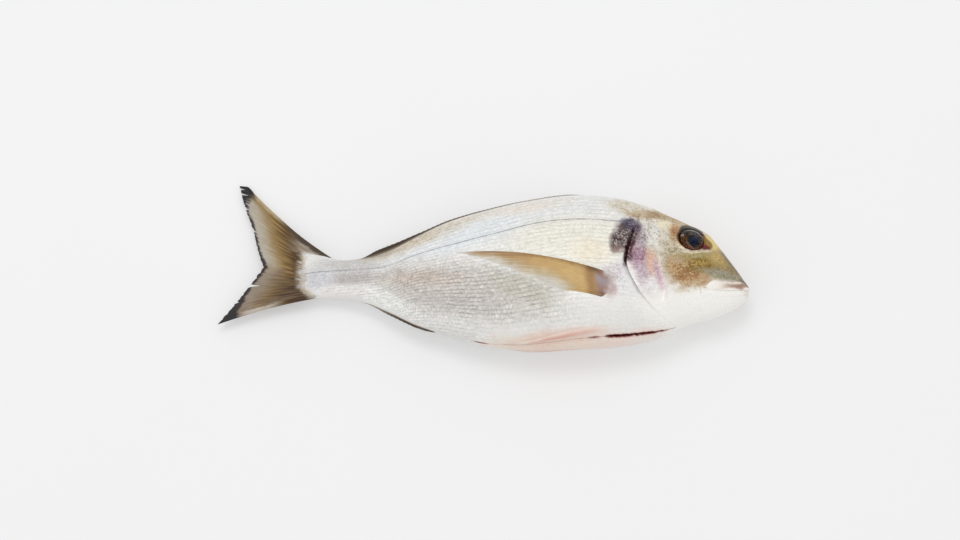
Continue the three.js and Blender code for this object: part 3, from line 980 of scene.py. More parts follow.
@dataclass(frozen=True)
class SkinFinish:
    """Wet scaled skin, its colours from the mesh and its scales from the scale map."""

    name: str = "wet_scaled_skin"
    roughness: float = 0.38
    metallic: float = 0.06
    specular: float = 0.32
    coat: float = 0.18
    coat_roughness: float = 0.16
    tone: float = 0.16
    edge_shade: float = 0.13
    row_shade: float = 0.22
    wander: float = 0.5
    streak: float = 0.3
    dash: float = 1.1
    line_shade: float = 0.72
    grain: float = 0.24
    mottle: float = 0.6
    relief: float = 0.00006

    def material(self) -> bpy.types.Material:
        """Builds the material."""
        g = Graph(self.name)
        tint = g.add("ShaderNodeAttribute", attribute_name=TINT)
        fleck = g.add("ShaderNodeAttribute", attribute_name=FLECK)
        scaly, cover = tint.outputs["Alpha"], fleck.outputs["Alpha"]
        place = g.add("ShaderNodeSeparateXYZ")
        g.link(g.add("ShaderNodeUVMap", uv_map=SCALE_MAP).outputs["UV"], place.inputs[0])
        along, row_place = place.outputs["X"], place.outputs["Y"]
        # rows wander a little and are half a scale out of step with their neighbours
        wander = g.math("MULTIPLY", g.math("SUBTRACT", g.noise(0.005, 2.0), 0.5), self.wander)
        wandering = g.math("ADD", row_place, wander)
        row = g.math("ROUND", wandering)
        beside = g.math("SUBTRACT", wandering, row)
        shift = g.math("MULTIPLY", g.math("PINGPONG", row, 1.0), 0.5)
        curved = g.math("MULTIPLY", g.math("MULTIPLY", beside, beside), 1.4)
        counted = g.math("ADD", g.math("ADD", along, shift), g.math("ADD", curved, wander))
        phase = g.math("FRACT", counted)
        edge = g.ease(phase, 0.0, 0.34, 1.0, 0.0)
        border = g.ease(g.math("ABSOLUTE", beside), 0.2, 0.48)
        drawn = self.random(g, g.math("FLOOR", counted), row)
        tone = g.math("MULTIPLY", g.math("SUBTRACT", drawn, 0.5), self.tone)
        tone = g.math("ADD", tone, g.math("MULTIPLY", self.dashes(g), self.dash))
        streak = g.math("SUBTRACT", self.streaks(g, along, row_place), 0.5)
        shade = g.math("ADD", g.math("MULTIPLY", edge, self.edge_shade), g.math("MULTIPLY", border, self.row_shade))
        shade = g.math("SUBTRACT", shade, (self.edge_shade + self.row_shade) * 0.3)
        patchy = g.ease(g.noise(0.009, 3.0), 0.36, 0.62, 0.3, 1.4)
        change = g.math("SUBTRACT", tone, g.math("MULTIPLY", shade, patchy))
        change = g.math("ADD", change, g.math("MULTIPLY", g.math("MULTIPLY", streak, scaly), self.streak))
        brightness = g.math("ADD", g.math("MULTIPLY", change, scaly), 1.0)
        from_line = g.math("ADD", g.math("PINGPONG", row_place, LEFT_ROWS / 2), g.math("MULTIPLY", g.noise(0.003), 0.1))
        line = g.math("MULTIPLY", g.ease(from_line, 0.1, 0.26, 1.0, 0.0), g.ease(g.noise(0.004), 0.3, 0.55, 0.6, 1.0))
        line = g.math("MULTIPLY", line, g.ease(scaly, 0.02, 0.25))
        fine = g.math("MULTIPLY", g.math("SUBTRACT", g.noise(0.0012, 3.0), 0.5), self.grain)
        random, away = self.cells(g, 0.0012)
        mottle = g.math("MULTIPLY", g.math("SUBTRACT", self.cells(g, 0.0017)[0], 0.5), g.math("MULTIPLY", cover, self.mottle))
        soft = g.math("ADD", g.math("ADD", fine, mottle), 1.0)
        colour = g.mix(1.0, tint.outputs["Color"], g.math("MULTIPLY", brightness, soft), "MULTIPLY")
        dense = g.math("MULTIPLY", cover, g.ease(g.noise(0.0042, 3.0), 0.36, 0.64, 0.3, 2.2))
        dots = g.math("MULTIPLY", g.math("LESS_THAN", random, dense), g.ease(away, 0.25, 0.7, 0.8, 0.0))
        haze = g.math("MULTIPLY", g.ease(g.noise(0.0014, 3.0), 0.44, 0.62), g.math("MULTIPLY", dense, 0.7))
        colour = g.mix(g.math("MAXIMUM", dots, haze), colour, fleck.outputs["Color"])
        colour = g.mix(g.math("MULTIPLY", line, self.line_shade), colour, (0.1, 0.12, 0.16, 1.0))
        height = g.math("MULTIPLY", g.math("SUBTRACT", phase, g.math("MULTIPLY", border, 0.35)), scaly)
        height = g.math("ADD", height, g.math("MULTIPLY", g.noise(0.0009, 2.0), 0.6))
        g.bump(height, self.relief)
        rough = g.math("ADD", g.math("MULTIPLY", g.noise(0.005, 2.0), 0.24), self.roughness - 0.12)
        g.set(Base_Color=colour, Roughness=rough, Metallic=self.metallic, Specular_IOR_Level=self.specular)
        g.set(Coat_Weight=self.coat, Coat_Roughness=self.coat_roughness)
        return g.material

    @staticmethod
    def random(g: Graph, first: bpy.types.NodeSocket, second: bpy.types.NodeSocket) -> bpy.types.NodeSocket:
        """One random number for each pair of whole numbers."""
        pair = g.add("ShaderNodeCombineXYZ")
        g.link(first, pair.inputs["X"])
        g.link(second, pair.inputs["Y"])
        noise = g.add("ShaderNodeTexWhiteNoise", noise_dimensions="2D")
        g.link(pair.outputs[0], noise.inputs["Vector"])
        return noise.outputs["Value"]

    @staticmethod
    def dashes(g: Graph) -> bpy.types.NodeSocket:
        """Short light and dark dashes about 0, level in some places and upright in others."""
        level = g.noise(0.0011, 2.0, stretch=(2.6, 1.0, 1.0))
        upright = g.noise(0.0011, 2.0, stretch=(1.0, 2.6, 1.0))
        chosen = g.ease(g.noise(0.03, 1.0), 0.46, 0.6)
        return g.math("SUBTRACT", g.math("ADD", level, g.math("MULTIPLY", g.math("SUBTRACT", upright, level), chosen)), 0.5)

    @staticmethod
    def streaks(g: Graph, along: bpy.types.NodeSocket, row_place: bpy.types.NodeSocket) -> bpy.types.NodeSocket:
        """Noise drawn out along the scale rows."""
        spread = g.add("ShaderNodeCombineXYZ")
        g.link(g.math("MULTIPLY", along, 0.42), spread.inputs["X"])
        g.link(g.math("MULTIPLY", row_place, 1.45), spread.inputs["Y"])
        noise = g.add("ShaderNodeTexNoise", noise_dimensions="2D")
        noise.inputs["Scale"].default_value = 1.0
        noise.inputs["Detail"].default_value = 2.0
        g.link(spread.outputs[0], noise.inputs["Vector"])
        return noise.outputs["Fac"]

    @staticmethod
    def cells(g: Graph, size: float) -> tuple[bpy.types.NodeSocket, bpy.types.NodeSocket]:
        """Small cells in space: a random number for each and the distance to its middle."""
        node = g.add("ShaderNodeTexVoronoi", feature="F1")
        g.link(g.add("ShaderNodeTexCoord").outputs["Object"], node.inputs["Vector"])
        node.inputs["Scale"].default_value = 1 / size
        parts = g.add("ShaderNodeSeparateColor")
        g.link(node.outputs["Color"], parts.inputs[0])
        return parts.outputs[0], node.outputs["Distance"]


@dataclass(frozen=True)
class FinFinish:
    """Moist fin web, its colours and rays from the mesh."""

    name: str
    roughness: float = 0.45
    specular: float = 0.3
    coat: float = 0.12
    streak: float = 0.36

    def material(self) -> bpy.types.Material:
        """Builds the material."""
        g = Graph(self.name)
        tint = g.add("ShaderNodeAttribute", attribute_name=TINT)
        rays = g.add("ShaderNodeTexNoise", noise_dimensions="2D")
        rays.inputs["Scale"].default_value = 1.0
        rays.inputs["Detail"].default_value = 3.0
        g.link(g.add("ShaderNodeUVMap", uv_map=SCALE_MAP).outputs["UV"], rays.inputs["Vector"])
        streaks = rays.outputs["Fac"]
        bright = g.math("ADD", g.math("MULTIPLY", g.math("SUBTRACT", streaks, 0.5), self.streak), 1.0)
        blotch = g.math("ADD", g.math("MULTIPLY", g.math("SUBTRACT", g.noise(0.007, 3.0), 0.5), self.streak), 1.0)
        colour = g.mix(1.0, tint.outputs["Color"], g.math("MULTIPLY", bright, blotch), "MULTIPLY")
        g.bump(streaks, 0.00008, 0.5)
        g.set(Base_Color=colour, Roughness=self.roughness, Specular_IOR_Level=self.specular)
        g.set(Coat_Weight=self.coat, Coat_Roughness=0.2)
        return g.material


@dataclass(frozen=True)
class EyeFinish:
    """The eyeball's iris and pupil, coloured on the mesh."""

    name: str = "iris_and_pupil"
    roughness: float = 0.3

    def material(self) -> bpy.types.Material:
        """Builds the material."""
        g = Graph(self.name)
        tint = g.add("ShaderNodeAttribute", attribute_name=TINT)
        cloudy = g.math("ADD", g.math("MULTIPLY", g.math("SUBTRACT", g.noise(0.0012, 3.0), 0.5), 0.5), 1.0)
        colour = g.mix(1.0, tint.outputs["Color"], cloudy, "MULTIPLY")
        g.bump(g.noise(0.0008, 2.0), 0.0001, 0.5)
        g.set(Base_Color=colour, Roughness=self.roughness, Specular_IOR_Level=0.1)
        return g.material


@dataclass(frozen=True)
class CorneaFinish:
    """The clear wet skin over the eyeball."""

    name: str = "clear_cornea"
    roughness: float = 0.04

    def material(self) -> bpy.types.Material:
        """Builds the material."""
        g = Graph(self.name)
        g.set(Base_Color=(0.97, 0.97, 0.97, 1.0), Roughness=self.roughness, IOR=1.12, Transmission_Weight=1.0)
        g.bump(g.noise(0.004, 2.0), 0.00005, 0.3)
        return g.material


@dataclass(frozen=True)
class FloorFinish:
    """A plain pale floor that glows a little, as a sheet lit from below does."""

    name: str = "pale_floor"
    colour: float = 0.56
    glow: float = 0.33

    def material(self) -> bpy.types.Material:
        """Builds the material."""
        g = Graph(self.name)
        uneven = g.math("ADD", g.math("MULTIPLY", g.math("SUBTRACT", g.noise(0.15, 2.0), 0.5), 0.02), 1.0)
        pale = (self.colour, self.colour, self.colour, 1.0)
        g.set(Base_Color=g.mix(1.0, pale, uneven, "MULTIPLY"), Roughness=0.85, Specular_IOR_Level=0.1)
        g.set(Emission_Color=(0.99, 0.99, 1.0, 1.0), Emission_Strength=self.glow)
        return g.material


# ---------------------------------------------------------------- the pieces


@dataclass
class Shop:
    """What every sub-assembly works from: the form, the pose and the finishes."""

    form: FishForm
    gill: Gill
    pose: Pose
    skin: bpy.types.Material
    fin: bpy.types.Material
    pale_fin: bpy.types.Material

    def finish(self, piece: bpy.types.Object, material: bpy.types.Material, node: str, slot: Slot) -> bpy.types.Object:
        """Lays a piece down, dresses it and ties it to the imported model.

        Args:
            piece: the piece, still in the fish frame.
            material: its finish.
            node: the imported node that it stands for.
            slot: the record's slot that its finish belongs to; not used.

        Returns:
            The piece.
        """
        Bench.move(piece, self.pose.lay_down(Bench.places(piece)))
        piece.data.materials.clear()
        piece.data.materials.append(material)
        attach(piece, BODY)
        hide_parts(node)
        piece.data.calc_loop_triangles()
        LOG.info("%s: %d triangles", piece.name, len(piece.data.loop_triangles))
        return piece


@dataclass
class Slit:
    """The cut along the belly, a little to the right of the keel."""

    line_rows: Rows = ((43, 2.4), (60, 6.6), (90, 8.6), (125, 5.7), (155, 2.2), (174, 1.6))
    start: float = 44.0
    open_end: float = 90.0
    end: float = 173.0
    open_width: float = 1.4
    closed_width: float = 0.3
    open_depth: float = 7.0
    closed_depth: float = 0.5
    flap_offset: float = 4.2
    flap_half: float = 3.4
    flap_proud: float = 0.8

    @cached_property
    def line(self) -> Curve:
        """The slit's offset from the keel along the body."""
        return Curve(self.line_rows)

    def opened(self, t: Array) -> Array:
        """1 where the slit gapes and 0 where its edges meet."""
        return smoothstep(t, self.start, self.start + 18) * (1 - smoothstep(t, self.open_end - 5, self.open_end + 1))

    def cut(self, t: Array) -> Array:
        """1 along the slit and 0 beyond its ends."""
        return smoothstep(t, self.start - 1, self.start + 3) * (1 - smoothstep(t, self.end - 4, self.end))

    def width(self, t: Array) -> Array:
        """The slit's width, a little uneven as a knife leaves it."""
        wide = lerp(self.closed_width, self.open_width, self.opened(t))
        uneven = 1 + 0.3 * np.sin(1.7 * t) * np.sin(0.61 * t + 1)
        return lerp(0.24, wide * uneven, self.cut(t))

    def depth(self, t: Array) -> Array:
        """The slit's depth."""
        return lerp(0.05, lerp(self.closed_depth, self.open_depth, self.opened(t)), self.cut(t))

    def flap(self, t: Array, z: Array) -> Array:
        """The height of the thick lip below the slit."""
        share = np.clip((t - self.start - 6) / (self.end - self.start - 14), 0, 1)
        inside = bump(z - (self.line(t) - self.flap_offset), self.flap_half)
        return self.flap_proud * np.sin(math.pi * share) * inside


HEAD_PATCHES: tuple[Patch, ...] = (
    Patch("silver cover", (61, 8), (8, 12), (223, 220, 212), soft=0.5, fleck=(150, 140, 136), cover=0.24),
    Patch("grey cover", (68, 5), (5, 8), (184, 175, 176), soft=0.6, fleck=(96, 80, 88), cover=0.4),
    Patch("lower cover", (64, -27), (8, 9), (228, 224, 221), soft=0.6, fleck=(196, 184, 188), cover=0.2),
    Patch("violet cover", (68.4, -9.5), (5.8, 8.6), (178, 147, 160), soft=0.6, ragged=0.35,
          fleck=(122, 88, 108), cover=0.46),
    Patch("faded violet", (66, -19), (4.5, 6.5), (200, 184, 190), soft=0.7, fleck=(160, 134, 150), cover=0.34),
    Patch("orange streak", (60.6, -11), (3.0, 7.6), (216, 180, 158), turn=-4, soft=0.8, ragged=0.3,
          fleck=(212, 158, 128), cover=0.45),
    Patch("pink band", (56, -20), (2.6, 10), (206, 184, 190), turn=-15, soft=0.8, ragged=0.3,
          fleck=(180, 140, 152), cover=0.4),
    Patch("pale cheek", (51, 1), (4.6, 12), (216, 208, 195), soft=0.6, fleck=(174, 156, 132), cover=0.3),
    Patch("behind the eye", (44.6, 10.5), (3.6, 9), (186, 148, 112), soft=0.7, ragged=0.35,
          fleck=(138, 90, 56), cover=0.5),
    Patch("under the eye", (47.5, -4), (5.5, 9), (198, 187, 164), soft=0.8, ragged=0.3, fleck=(128, 112, 82), cover=0.45),
    Patch("cheek", (37.0, -16.0), (13, 10.0), (170, 137, 102), turn=8, soft=0.45, ragged=0.45,
          fleck=(216, 196, 160), cover=0.42),
    Patch("brown cheek", (38.5, -16.5), (9.5, 7), (152, 112, 74), soft=0.8, ragged=0.5, strength=0.8,
          fleck=(212, 186, 148), cover=0.4),
    Patch("gold cheek", (28, -9.5), (12, 6.3), (120, 98, 54), turn=4, soft=0.6, ragged=0.3,
          fleck=(190, 162, 98), cover=0.42),
    Patch("olive under the eye", (33, -5.0), (10, 2.0), (172, 158, 116), turn=-6, soft=0.6, fleck=(136, 116, 70), cover=0.42),
    Patch("snout", (14, -7), (8.5, 13.5), (158, 140, 104), turn=-28, soft=0.5, fleck=(116, 96, 60), cover=0.42),
    Patch("gold snout", (19, -5), (6, 5), (170, 146, 96), turn=20, soft=0.7, fleck=(206, 180, 120), cover=0.4),
    Patch("grey snout", (15, -16.6), (15, 3.0), (156, 150, 130), turn=8, soft=0.5, fleck=(124, 116, 96), cover=0.4),
    Patch("snout edge", (11, -3.2), (18, 3.0), (112, 98, 72), turn=56, soft=0.8, strength=0.95, fleck=(86, 72, 50), cover=0.3),
    Patch("muzzle", (1.5, -18.4), (4, 2.8), (120, 108, 92), turn=60, soft=0.7),
    Patch("jaw", (14, -31.5), (26, 7.2), (241, 239, 234), soft=0.25, ragged=0.06),
    Patch("yellow lid", (21.4, 7.4), (4.2, 7.6), (204, 180, 118), turn=-20, soft=0.6, fleck=(232, 212, 152), cover=0.3),
)

CROWN_PATCHES: tuple[Patch, ...] = (
    Patch("upper head", (32, 5), (41, 33), (207, 198, 180), soft=0.2, ragged=0.12, fleck=(160, 142, 112), cover=0.22),
    Patch("top of head", (46, 25.5), (14, 4.4), (188, 173, 136), turn=29, soft=0.5, fleck=(138, 112, 70), cover=0.4),
    Patch("nape", (64.5, 24.6), (12.5, 4.4), (172, 146, 112), turn=4, soft=0.5, fleck=(126, 90, 54), cover=0.46),
    Patch("fading nape", (74, 30), (13, 6.0), (210, 203, 188), turn=10, soft=0.6, fleck=(166, 148, 118), cover=0.24),
    Patch("cream band", (51.5, 16.6), (9, 3.6), (234, 224, 196), turn=12, soft=0.5, fleck=(194, 172, 134), cover=0.2),
)

SHOULDER_PATCHES: tuple[Patch, ...] = (
    Patch("shoulder blotch", (77.2, 7.0), (6.6, 11.8), (100, 88, 87), turn=24, soft=0.36, ragged=0.4,
          fleck=(186, 177, 174), cover=0.3),
    Patch("upper blotch", (72.4, 14.6), (6.4, 4.6), (76, 68, 82), turn=30, soft=0.45, ragged=0.3,
          fleck=(142, 130, 146), cover=0.3),
    Patch("dark rim of the blotch", (80.4, 4.5), (2.6, 8), (72, 58, 56), turn=22, soft=0.7, ragged=0.5, strength=0.8,
          fleck=(204, 194, 190), cover=0.26),
    Patch("blotch tail", (81.4, -3.4), (3.0, 2.4), (140, 116, 110), turn=-20, soft=0.8, ragged=0.5, strength=0.7,
          fleck=(222, 212, 206), cover=0.4),
)

SILVER: Colour = (227, 226, 222)
GREY_ROWS = Patch("grey rows", (178, -27.6), (58, 17), (192, 187, 182), turn=11, soft=0.5, ragged=0.12)

TRUNK_PATCHES: tuple[Patch, ...] = (
    Patch("blue silver", (172, 12), (58, 11), (222, 225, 226), turn=-15, soft=0.5, ragged=0.1),
    Patch("cream side", (108, 3), (38, 17), (228, 225, 214), soft=0.45, ragged=0.16),
    Patch("warm front", (97, -5), (11, 8), (232, 221, 198), turn=10, soft=0.7, ragged=0.3, strength=0.6),
    Patch("back", (120, 32), (60, 10), (223, 223, 221), soft=0.5, ragged=0.1),
    Patch("pinkish back", (138, 30), (26, 5), (224, 214, 204), turn=-8, soft=0.7, ragged=0.3, strength=0.7),
    Patch("tan along the back", (206, 11.6), (38, 5.4), (206, 196, 180), turn=-21, soft=0.9, ragged=0.4,
          fleck=(164, 144, 116), cover=0.24),
    Patch("rear back", (234, 2.6), (14, 3.4), (168, 156, 138), turn=-10, soft=0.9),
    GREY_ROWS,
    Patch("brown rows", (203, -17.5), (24, 4.5), (190, 175, 162), turn=6, soft=0.8, ragged=0.4, strength=0.6),
    Patch("grey under the fin", (140, -29), (20, 8), (180, 176, 165), turn=20, soft=0.7, ragged=0.3, strength=0.95),
    Patch("white gap", (226, -29), (21, 5.2), (228, 228, 225), turn=28, soft=0.6, ragged=0.2),
    Patch("silver belly", (186, -49), (22, 6), (218, 217, 214), turn=18, soft=0.6, ragged=0.2),
    Patch("tail root", (250, -8), (22, 10), (198, 196, 194), soft=0.5, ragged=0.2),
    Patch("grey tail root", (247, -14), (20, 3.6), (180, 174, 171), soft=0.7, ragged=0.3),
    Patch("white tail root", (266, -12), (10, 7), (207, 206, 208), soft=0.6, ragged=0.3, fleck=(186, 188, 196), cover=0.3),
    Patch("white under the root", (250, -21), (16, 3.4), (226, 223, 220), turn=4, soft=0.7, ragged=0.3),
    Patch("chest", (84, -25), (10, 9), (226, 225, 225), soft=0.6, ragged=0.4, fleck=(190, 184, 188), cover=0.26),
    Patch("lilac chest", (81, -18), (4.0, 6), (216, 207, 213), soft=0.8, ragged=0.5, strength=0.7,
          fleck=(178, 162, 172), cover=0.3),
    Patch("dusky fin foot", (86, -26), (3.4, 7.5), (186, 172, 168), soft=0.9, ragged=0.5, strength=0.8,
          fleck=(160, 140, 140), cover=0.3),
    # painted shade: a reddish-brown smudge below the pectoral fin's base
    Patch("shade below the fin base", (87, -32), (4.2, 3.6), (178, 150, 142), turn=20, soft=0.9, ragged=0.5, strength=0.7),
    Patch("cream flap", (122, -61), (48, 4.2), (230, 217, 203), soft=0.6),
    Patch("pink by the cut", (72, -56), (20, 2.0), (232, 208, 198), turn=-14, soft=0.9, ragged=0.3, strength=0.7),
    Patch("pink belly", (114, -57.4), (24, 3.2), (224, 192, 178), turn=-5, soft=0.9, ragged=0.3, strength=0.8),
    Patch("pink by the vent", (164, -58.6), (9, 1.4), (230, 210, 203), turn=-24, soft=0.9, ragged=0.3, strength=0.5),
)


@dataclass
class Trunk:
    """The scaled body from the gill opening to the tail root, with the belly slit."""

    shop: Shop
    slit: Slit
    start: float = 62.0
    rows_up: int = 10
    rows_down: int = 27
    samples: int = 4
    smallest_row: float = 1.75
    scale_lengths: tuple[float, float] = (3.0, 2.4)
    squeezed: float = 0.06
    blend: float = 6.0
    relief: float = 0.05
    edge_curve: float = 0.35
    clearest: tuple[float, float] = (0.5, 1.0)

    def rings(self) -> Array:
        """Where the rings stand: so many for each scale."""
        places = [self.start]
        length = self.shop.form.length
        while places[-1] < length:
            share = (places[-1] - self.start) / (length - self.start)
            places.append(places[-1] + lerp(*self.scale_lengths, share) / self.samples)
        spread = np.array(places)
        return self.start + (spread - self.start) * (length - self.start) / (spread[-1] - self.start)

    def row_arcs(self, length: float, rows: int) -> tuple[Array, Array]:
        """Spreads the samples of some scale rows over a length of skin.

        Args:
            length: the skin's length from the lateral line to the last row.
            rows: how many rows there are; those with no room for the smallest height are squeezed together.

        Returns:
            The samples' distances from the lateral line and how much of its own height each has.
        """
        height = (self.smallest_row**self.blend + (length / rows) ** self.blend) ** (1 / self.blend)
        last = max((length / height - self.squeezed * rows) / (1 - self.squeezed), 0.0)
        middle = (np.arange(rows * self.samples) + 0.5) / self.samples
        loose = 1 - smoothstep(middle, last - 1, last + 1)
        weight = self.squeezed + (1 - self.squeezed) * loose
        arcs = np.concatenate([[0.0], np.cumsum(weight)])
        room = np.concatenate([[weight[0]], weight])
        return arcs * length / arcs[-1], room

    def lattice(self, rings: Array) -> tuple[Array, Array, Array]:
        """Where the columns stand on each ring's outline.

        Args:
            rings: the rings' places.

        Returns:
            The outline angles, the scale rows' numbers and how much room each has, rings by columns.
        """
        form, slit = self.shop.form, self.slit
        outlines = Outlines(form, rings)
        # the keel of a ring lies ahead of the ring's own place, so the slit is read where its keel ends up
        places_below = self.shop.gill.bend(rings, form.belly(rings))
        wider = form.halves(rings) / form.halves(places_below)
        gaps = slit.width(places_below) * wider / 2
        offsets = slit.line(places_below) * wider
        angles, rooms = [], []
        for i, ring in enumerate(rings):
            gap = float(gaps[i])
            cut = outlines.beside_keel(i, float(offsets[i]))
            level = float(form.lateral(ring))
            right = outlines.level(i, level, Side.RIGHT)
            left = outlines.level(i, level, Side.LEFT)
            back = outlines.quarter(i, 2)
            around = outlines.quarter(i, 4)
            down, down_room = self.row_arcs(right - cut - gap, self.rows_down)
            up, up_room = self.row_arcs(back - right, self.rows_up)
            up_left, up_left_room = self.row_arcs(left - back, self.rows_up)
            down_left, down_left_room = self.row_arcs(around + cut - gap - left, self.rows_down)
            places = [right - down[::-1], right + up[1:], left - up_left[-2::-1], left + down_left[1:]]
            rooms.append(np.concatenate([down_room[::-1], up_room[1:], up_left_room[-2::-1], down_left_room[1:]]))
            angles.append(outlines.angles(i, np.concatenate(places)))
        below = np.arange(-self.rows_down * self.samples, self.rows_up * self.samples + 1) / self.samples
        return np.array(angles), np.concatenate([below, below[-2::-1]]), np.array(rooms)

    def scale_height(self, along: Array, rows: Array) -> Array:
        """The relief of overlapping scales, from 0 to 1.

        Args:
            along: scales counted towards the tail.
            rows: rows counted from the lateral line.

        Returns:
            The heights, highest at each scale's free edge.
        """
        row = np.rint(rows)
        beside = rows - row
        counted = along + 0.5 * (np.abs(row) % 2) + self.edge_curve * (2 * beside) ** 2
        return counted - np.floor(counted) - 0.3 * (2 * beside) ** 2

    def cut_walls(self, skin: Array, normal: Array, t: Array) -> Array:
        """The walls and the floor of the slit, from its left edge to its right one.

        Args:
            skin: the skin's places, from the slit's right edge round to its left one.
            normal: its normals.
            t: its places behind the snout.

        Returns:
            The places, four for each ring.
        """
        right, left = skin[:, 0], skin[:, -1]
        inward = -(normal[:, 0] + normal[:, -1])
        inward /= np.linalg.norm(inward, axis=1, keepdims=True)
        depth = self.slit.depth(t[:, 0])[:, None]
        middle = (right + left) / 2
        stops = ((left, 0.5, 0.1), (left, 1.0, 0.4), (right, 1.0, 0.4), (right, 0.5, 0.1))
        return np.stack([lerp(edge, middle, close) + inward * depth * deep for edge, deep, close in stops], axis=1)

    def build(self) -> bpy.types.Object:
        """Builds the trunk.

        Returns:
            The finished piece.
        """
        form, gill, slit = self.shop.form, self.shop.gill, self.slit
        rings = self.rings()
        ring = rings[:, None]
        angle, rows, room = self.lattice(rings)
        plain_y, _ = form.loop_point(ring, angle)
        t = gill.bend(ring, plain_y)
        y, z = form.loop_point(t, angle)
        skin = np.stack([-t, y, z], axis=-1)
        normal = outward_normals(skin, form)
        along = (np.arange(len(rings)) / self.samples)[:, None] + np.zeros_like(angle)
        loose = smoothstep(room, 0.3, 0.9) * smoothstep(ring - gill.station, 1.0, 7.0)
        loose = loose * (1 - 0.6 * smoothstep(ring, 262, 276))
        uneven = 0.8 + 0.3 * Grain(11)(skin, 9.0)
        rise = self.relief * loose * uneven * (self.scale_height(along, rows[None, :]) - 0.5)
        rise += gill.trunk_relief(ring - gill.station, y)
        rise += np.where(y < form.section(t).level, slit.flap(t, z), 0.0)
        rise += form.swell(skin)
        skin = skin + normal * rise[..., None]
        walls = self.cut_walls(skin, normal, t)
        whole = np.concatenate([skin, walls, skin[:, :1]], axis=1)
        right = np.arange(rows.size) <= (self.rows_up + self.rows_down) * self.samples
        counted = np.where(right, rows, rows + LEFT_ROWS)[None, :] + np.zeros_like(along)
        pattern = np.stack([along, counted], axis=-1)
        pattern = np.concatenate([pattern, np.repeat(pattern[:, -1:], walls.shape[1] + 1, axis=1)], axis=1)
        wrapped = Bench.wrap("trunk", whole, pattern)
        clear = loose * lerp(self.clearest[0], self.clearest[1], GREY_ROWS.mask(t, y, np.zeros_like(t)))
        chest = (1 - smoothstep(t, 88, 125)) * (1 - smoothstep(y, -36, -20))
        belly = (1 - smoothstep(t, 150, 172)) * (1 - smoothstep(y - form.belly(t), 4, 14))
        clear = clear * (1 - 0.75 * np.maximum(chest, belly))
        scaly = np.concatenate([clear, np.zeros((rings.size, walls.shape[1])), clear[:, :1]], axis=1)
        self.paint(whole, ring, walls.shape[1]).store(wrapped, scaly)
        Bench.seal(wrapped.piece)
        Bench.smooth(wrapped.piece, 60)
        return self.shop.finish(wrapped.piece, self.shop.skin, "fish", Slot.SKIN)

    def paint(self, whole: Array, ring: Array, walls: int) -> Paint:
        """Colours the trunk.

        Args:
            whole: its places, the slit's walls last.
            ring: the ring of each row.
            walls: how many columns the slit's walls take.

        Returns:
            The colours.
        """
        t, y = -whole[..., 0], whole[..., 1]
        paint = Paint(whole, np.broadcast_to(np.array(SILVER, float), whole.shape).copy())
        for patch in TRUNK_PATCHES + CROWN_PATCHES + SHOULDER_PATCHES:
            paint.lay_patch(patch)
        form, gill = self.shop.form, self.shop.gill
        past = ring - gill.station + np.zeros_like(t)
        paint.lay((239, 237, 232), (1 - smoothstep(past, 0, 16)) * (1 - smoothstep(y, -42, -30)))
        below = 1 - gill.mouth(y)
        # painted shade: a grey line in the crease just behind the gill cover's edge
        crease_shade = 1 - smoothstep(past + 0.9 * paint.fine + 0.6 * paint.coarse, 0.3, 3.0)
        paint.lay((158, 153, 156), crease_shade * below * gill.step_fade(y) * 0.6)
        below_crest = form.back(t) - y + 0.5 * paint.fine
        stripe = (1 - smoothstep(below_crest, 0.9, 2.8)) * smoothstep(t, 96, 130) * (1 - smoothstep(t, 236, 245))
        paint.lay((104, 93, 81), stripe * lerp(0.55, 0.9, smoothstep(t, 140, 195)))
        # painted shade: the dark gap of the gill opening, just behind the cover's edge
        uneven = past + 1.0 * paint.fine + 0.9 * paint.coarse
        width = lerp(2.3, 1.5, smoothstep(y, -5, 7))
        gap = (1 - smoothstep(uneven - width, -0.7, 0.7)) * gill.mouth(y) * lerp(1.0, 0.82, smoothstep(y, 0, 8))
        paint.lay((72, 48, 52), gap)
        paint.cover = paint.cover * (1 - 0.8 * gap)
        column = np.arange(whole.shape[1])[None, :]
        last = whole.shape[1] - walls - 2
        from_cut = np.minimum(column, np.maximum(0, last - column)) + np.zeros_like(t)
        cut = self.slit.cut(t)
        opened = self.slit.opened(t)
        paint.lay((228, 200, 188), (1 - smoothstep(from_cut, 0.8, 3.5)) * cut * opened * 0.7)
        vent = bump(t - 166, 6.5) + 0.7 * bump(t - 96, 5)
        bloody = np.clip(opened + vent, 0, 1) * smoothstep(paint.fine, -0.75, -0.1)
        paint.lay((118, 64, 62), (1 - smoothstep(from_cut, 0.5, 2.1)) * cut * bloody)
        inside = (column > last) & (column < whole.shape[1] - 1)
        paint.lay((224, 206, 192), inside * cut)
        paint.lay((98, 56, 52), inside * np.clip(opened + vent, 0, 1) * cut)
        # the skin thins out over the feet of the tail's rays, further forward along the lower edge
        uneven = t + 1.5 * paint.fine + 1.3 * paint.coarse + lerp(5.0, 0.0, smoothstep(y, -22, -15))
        paint.lay((156, 140, 116), smoothstep(uneven, 273.0, 278.5) * 0.8)
        return paint


def outward_normals(skin: Array, form: FishForm) -> Array:
    """Unit normals of a rectangle of the body's skin, turned outwards.

    Args:
        skin: places in the fish frame.
        form: the body's form.

    Returns:
        The normals.
    """
    normal = grid_normals(skin)
    level = form.section(-skin[..., 0]).level
    out = np.stack([np.zeros_like(level), skin[..., 1] - level, skin[..., 2]], axis=-1)
    return normal * np.where(np.sum(normal * out, axis=-1) < 0, -1.0, 1.0)[..., None]


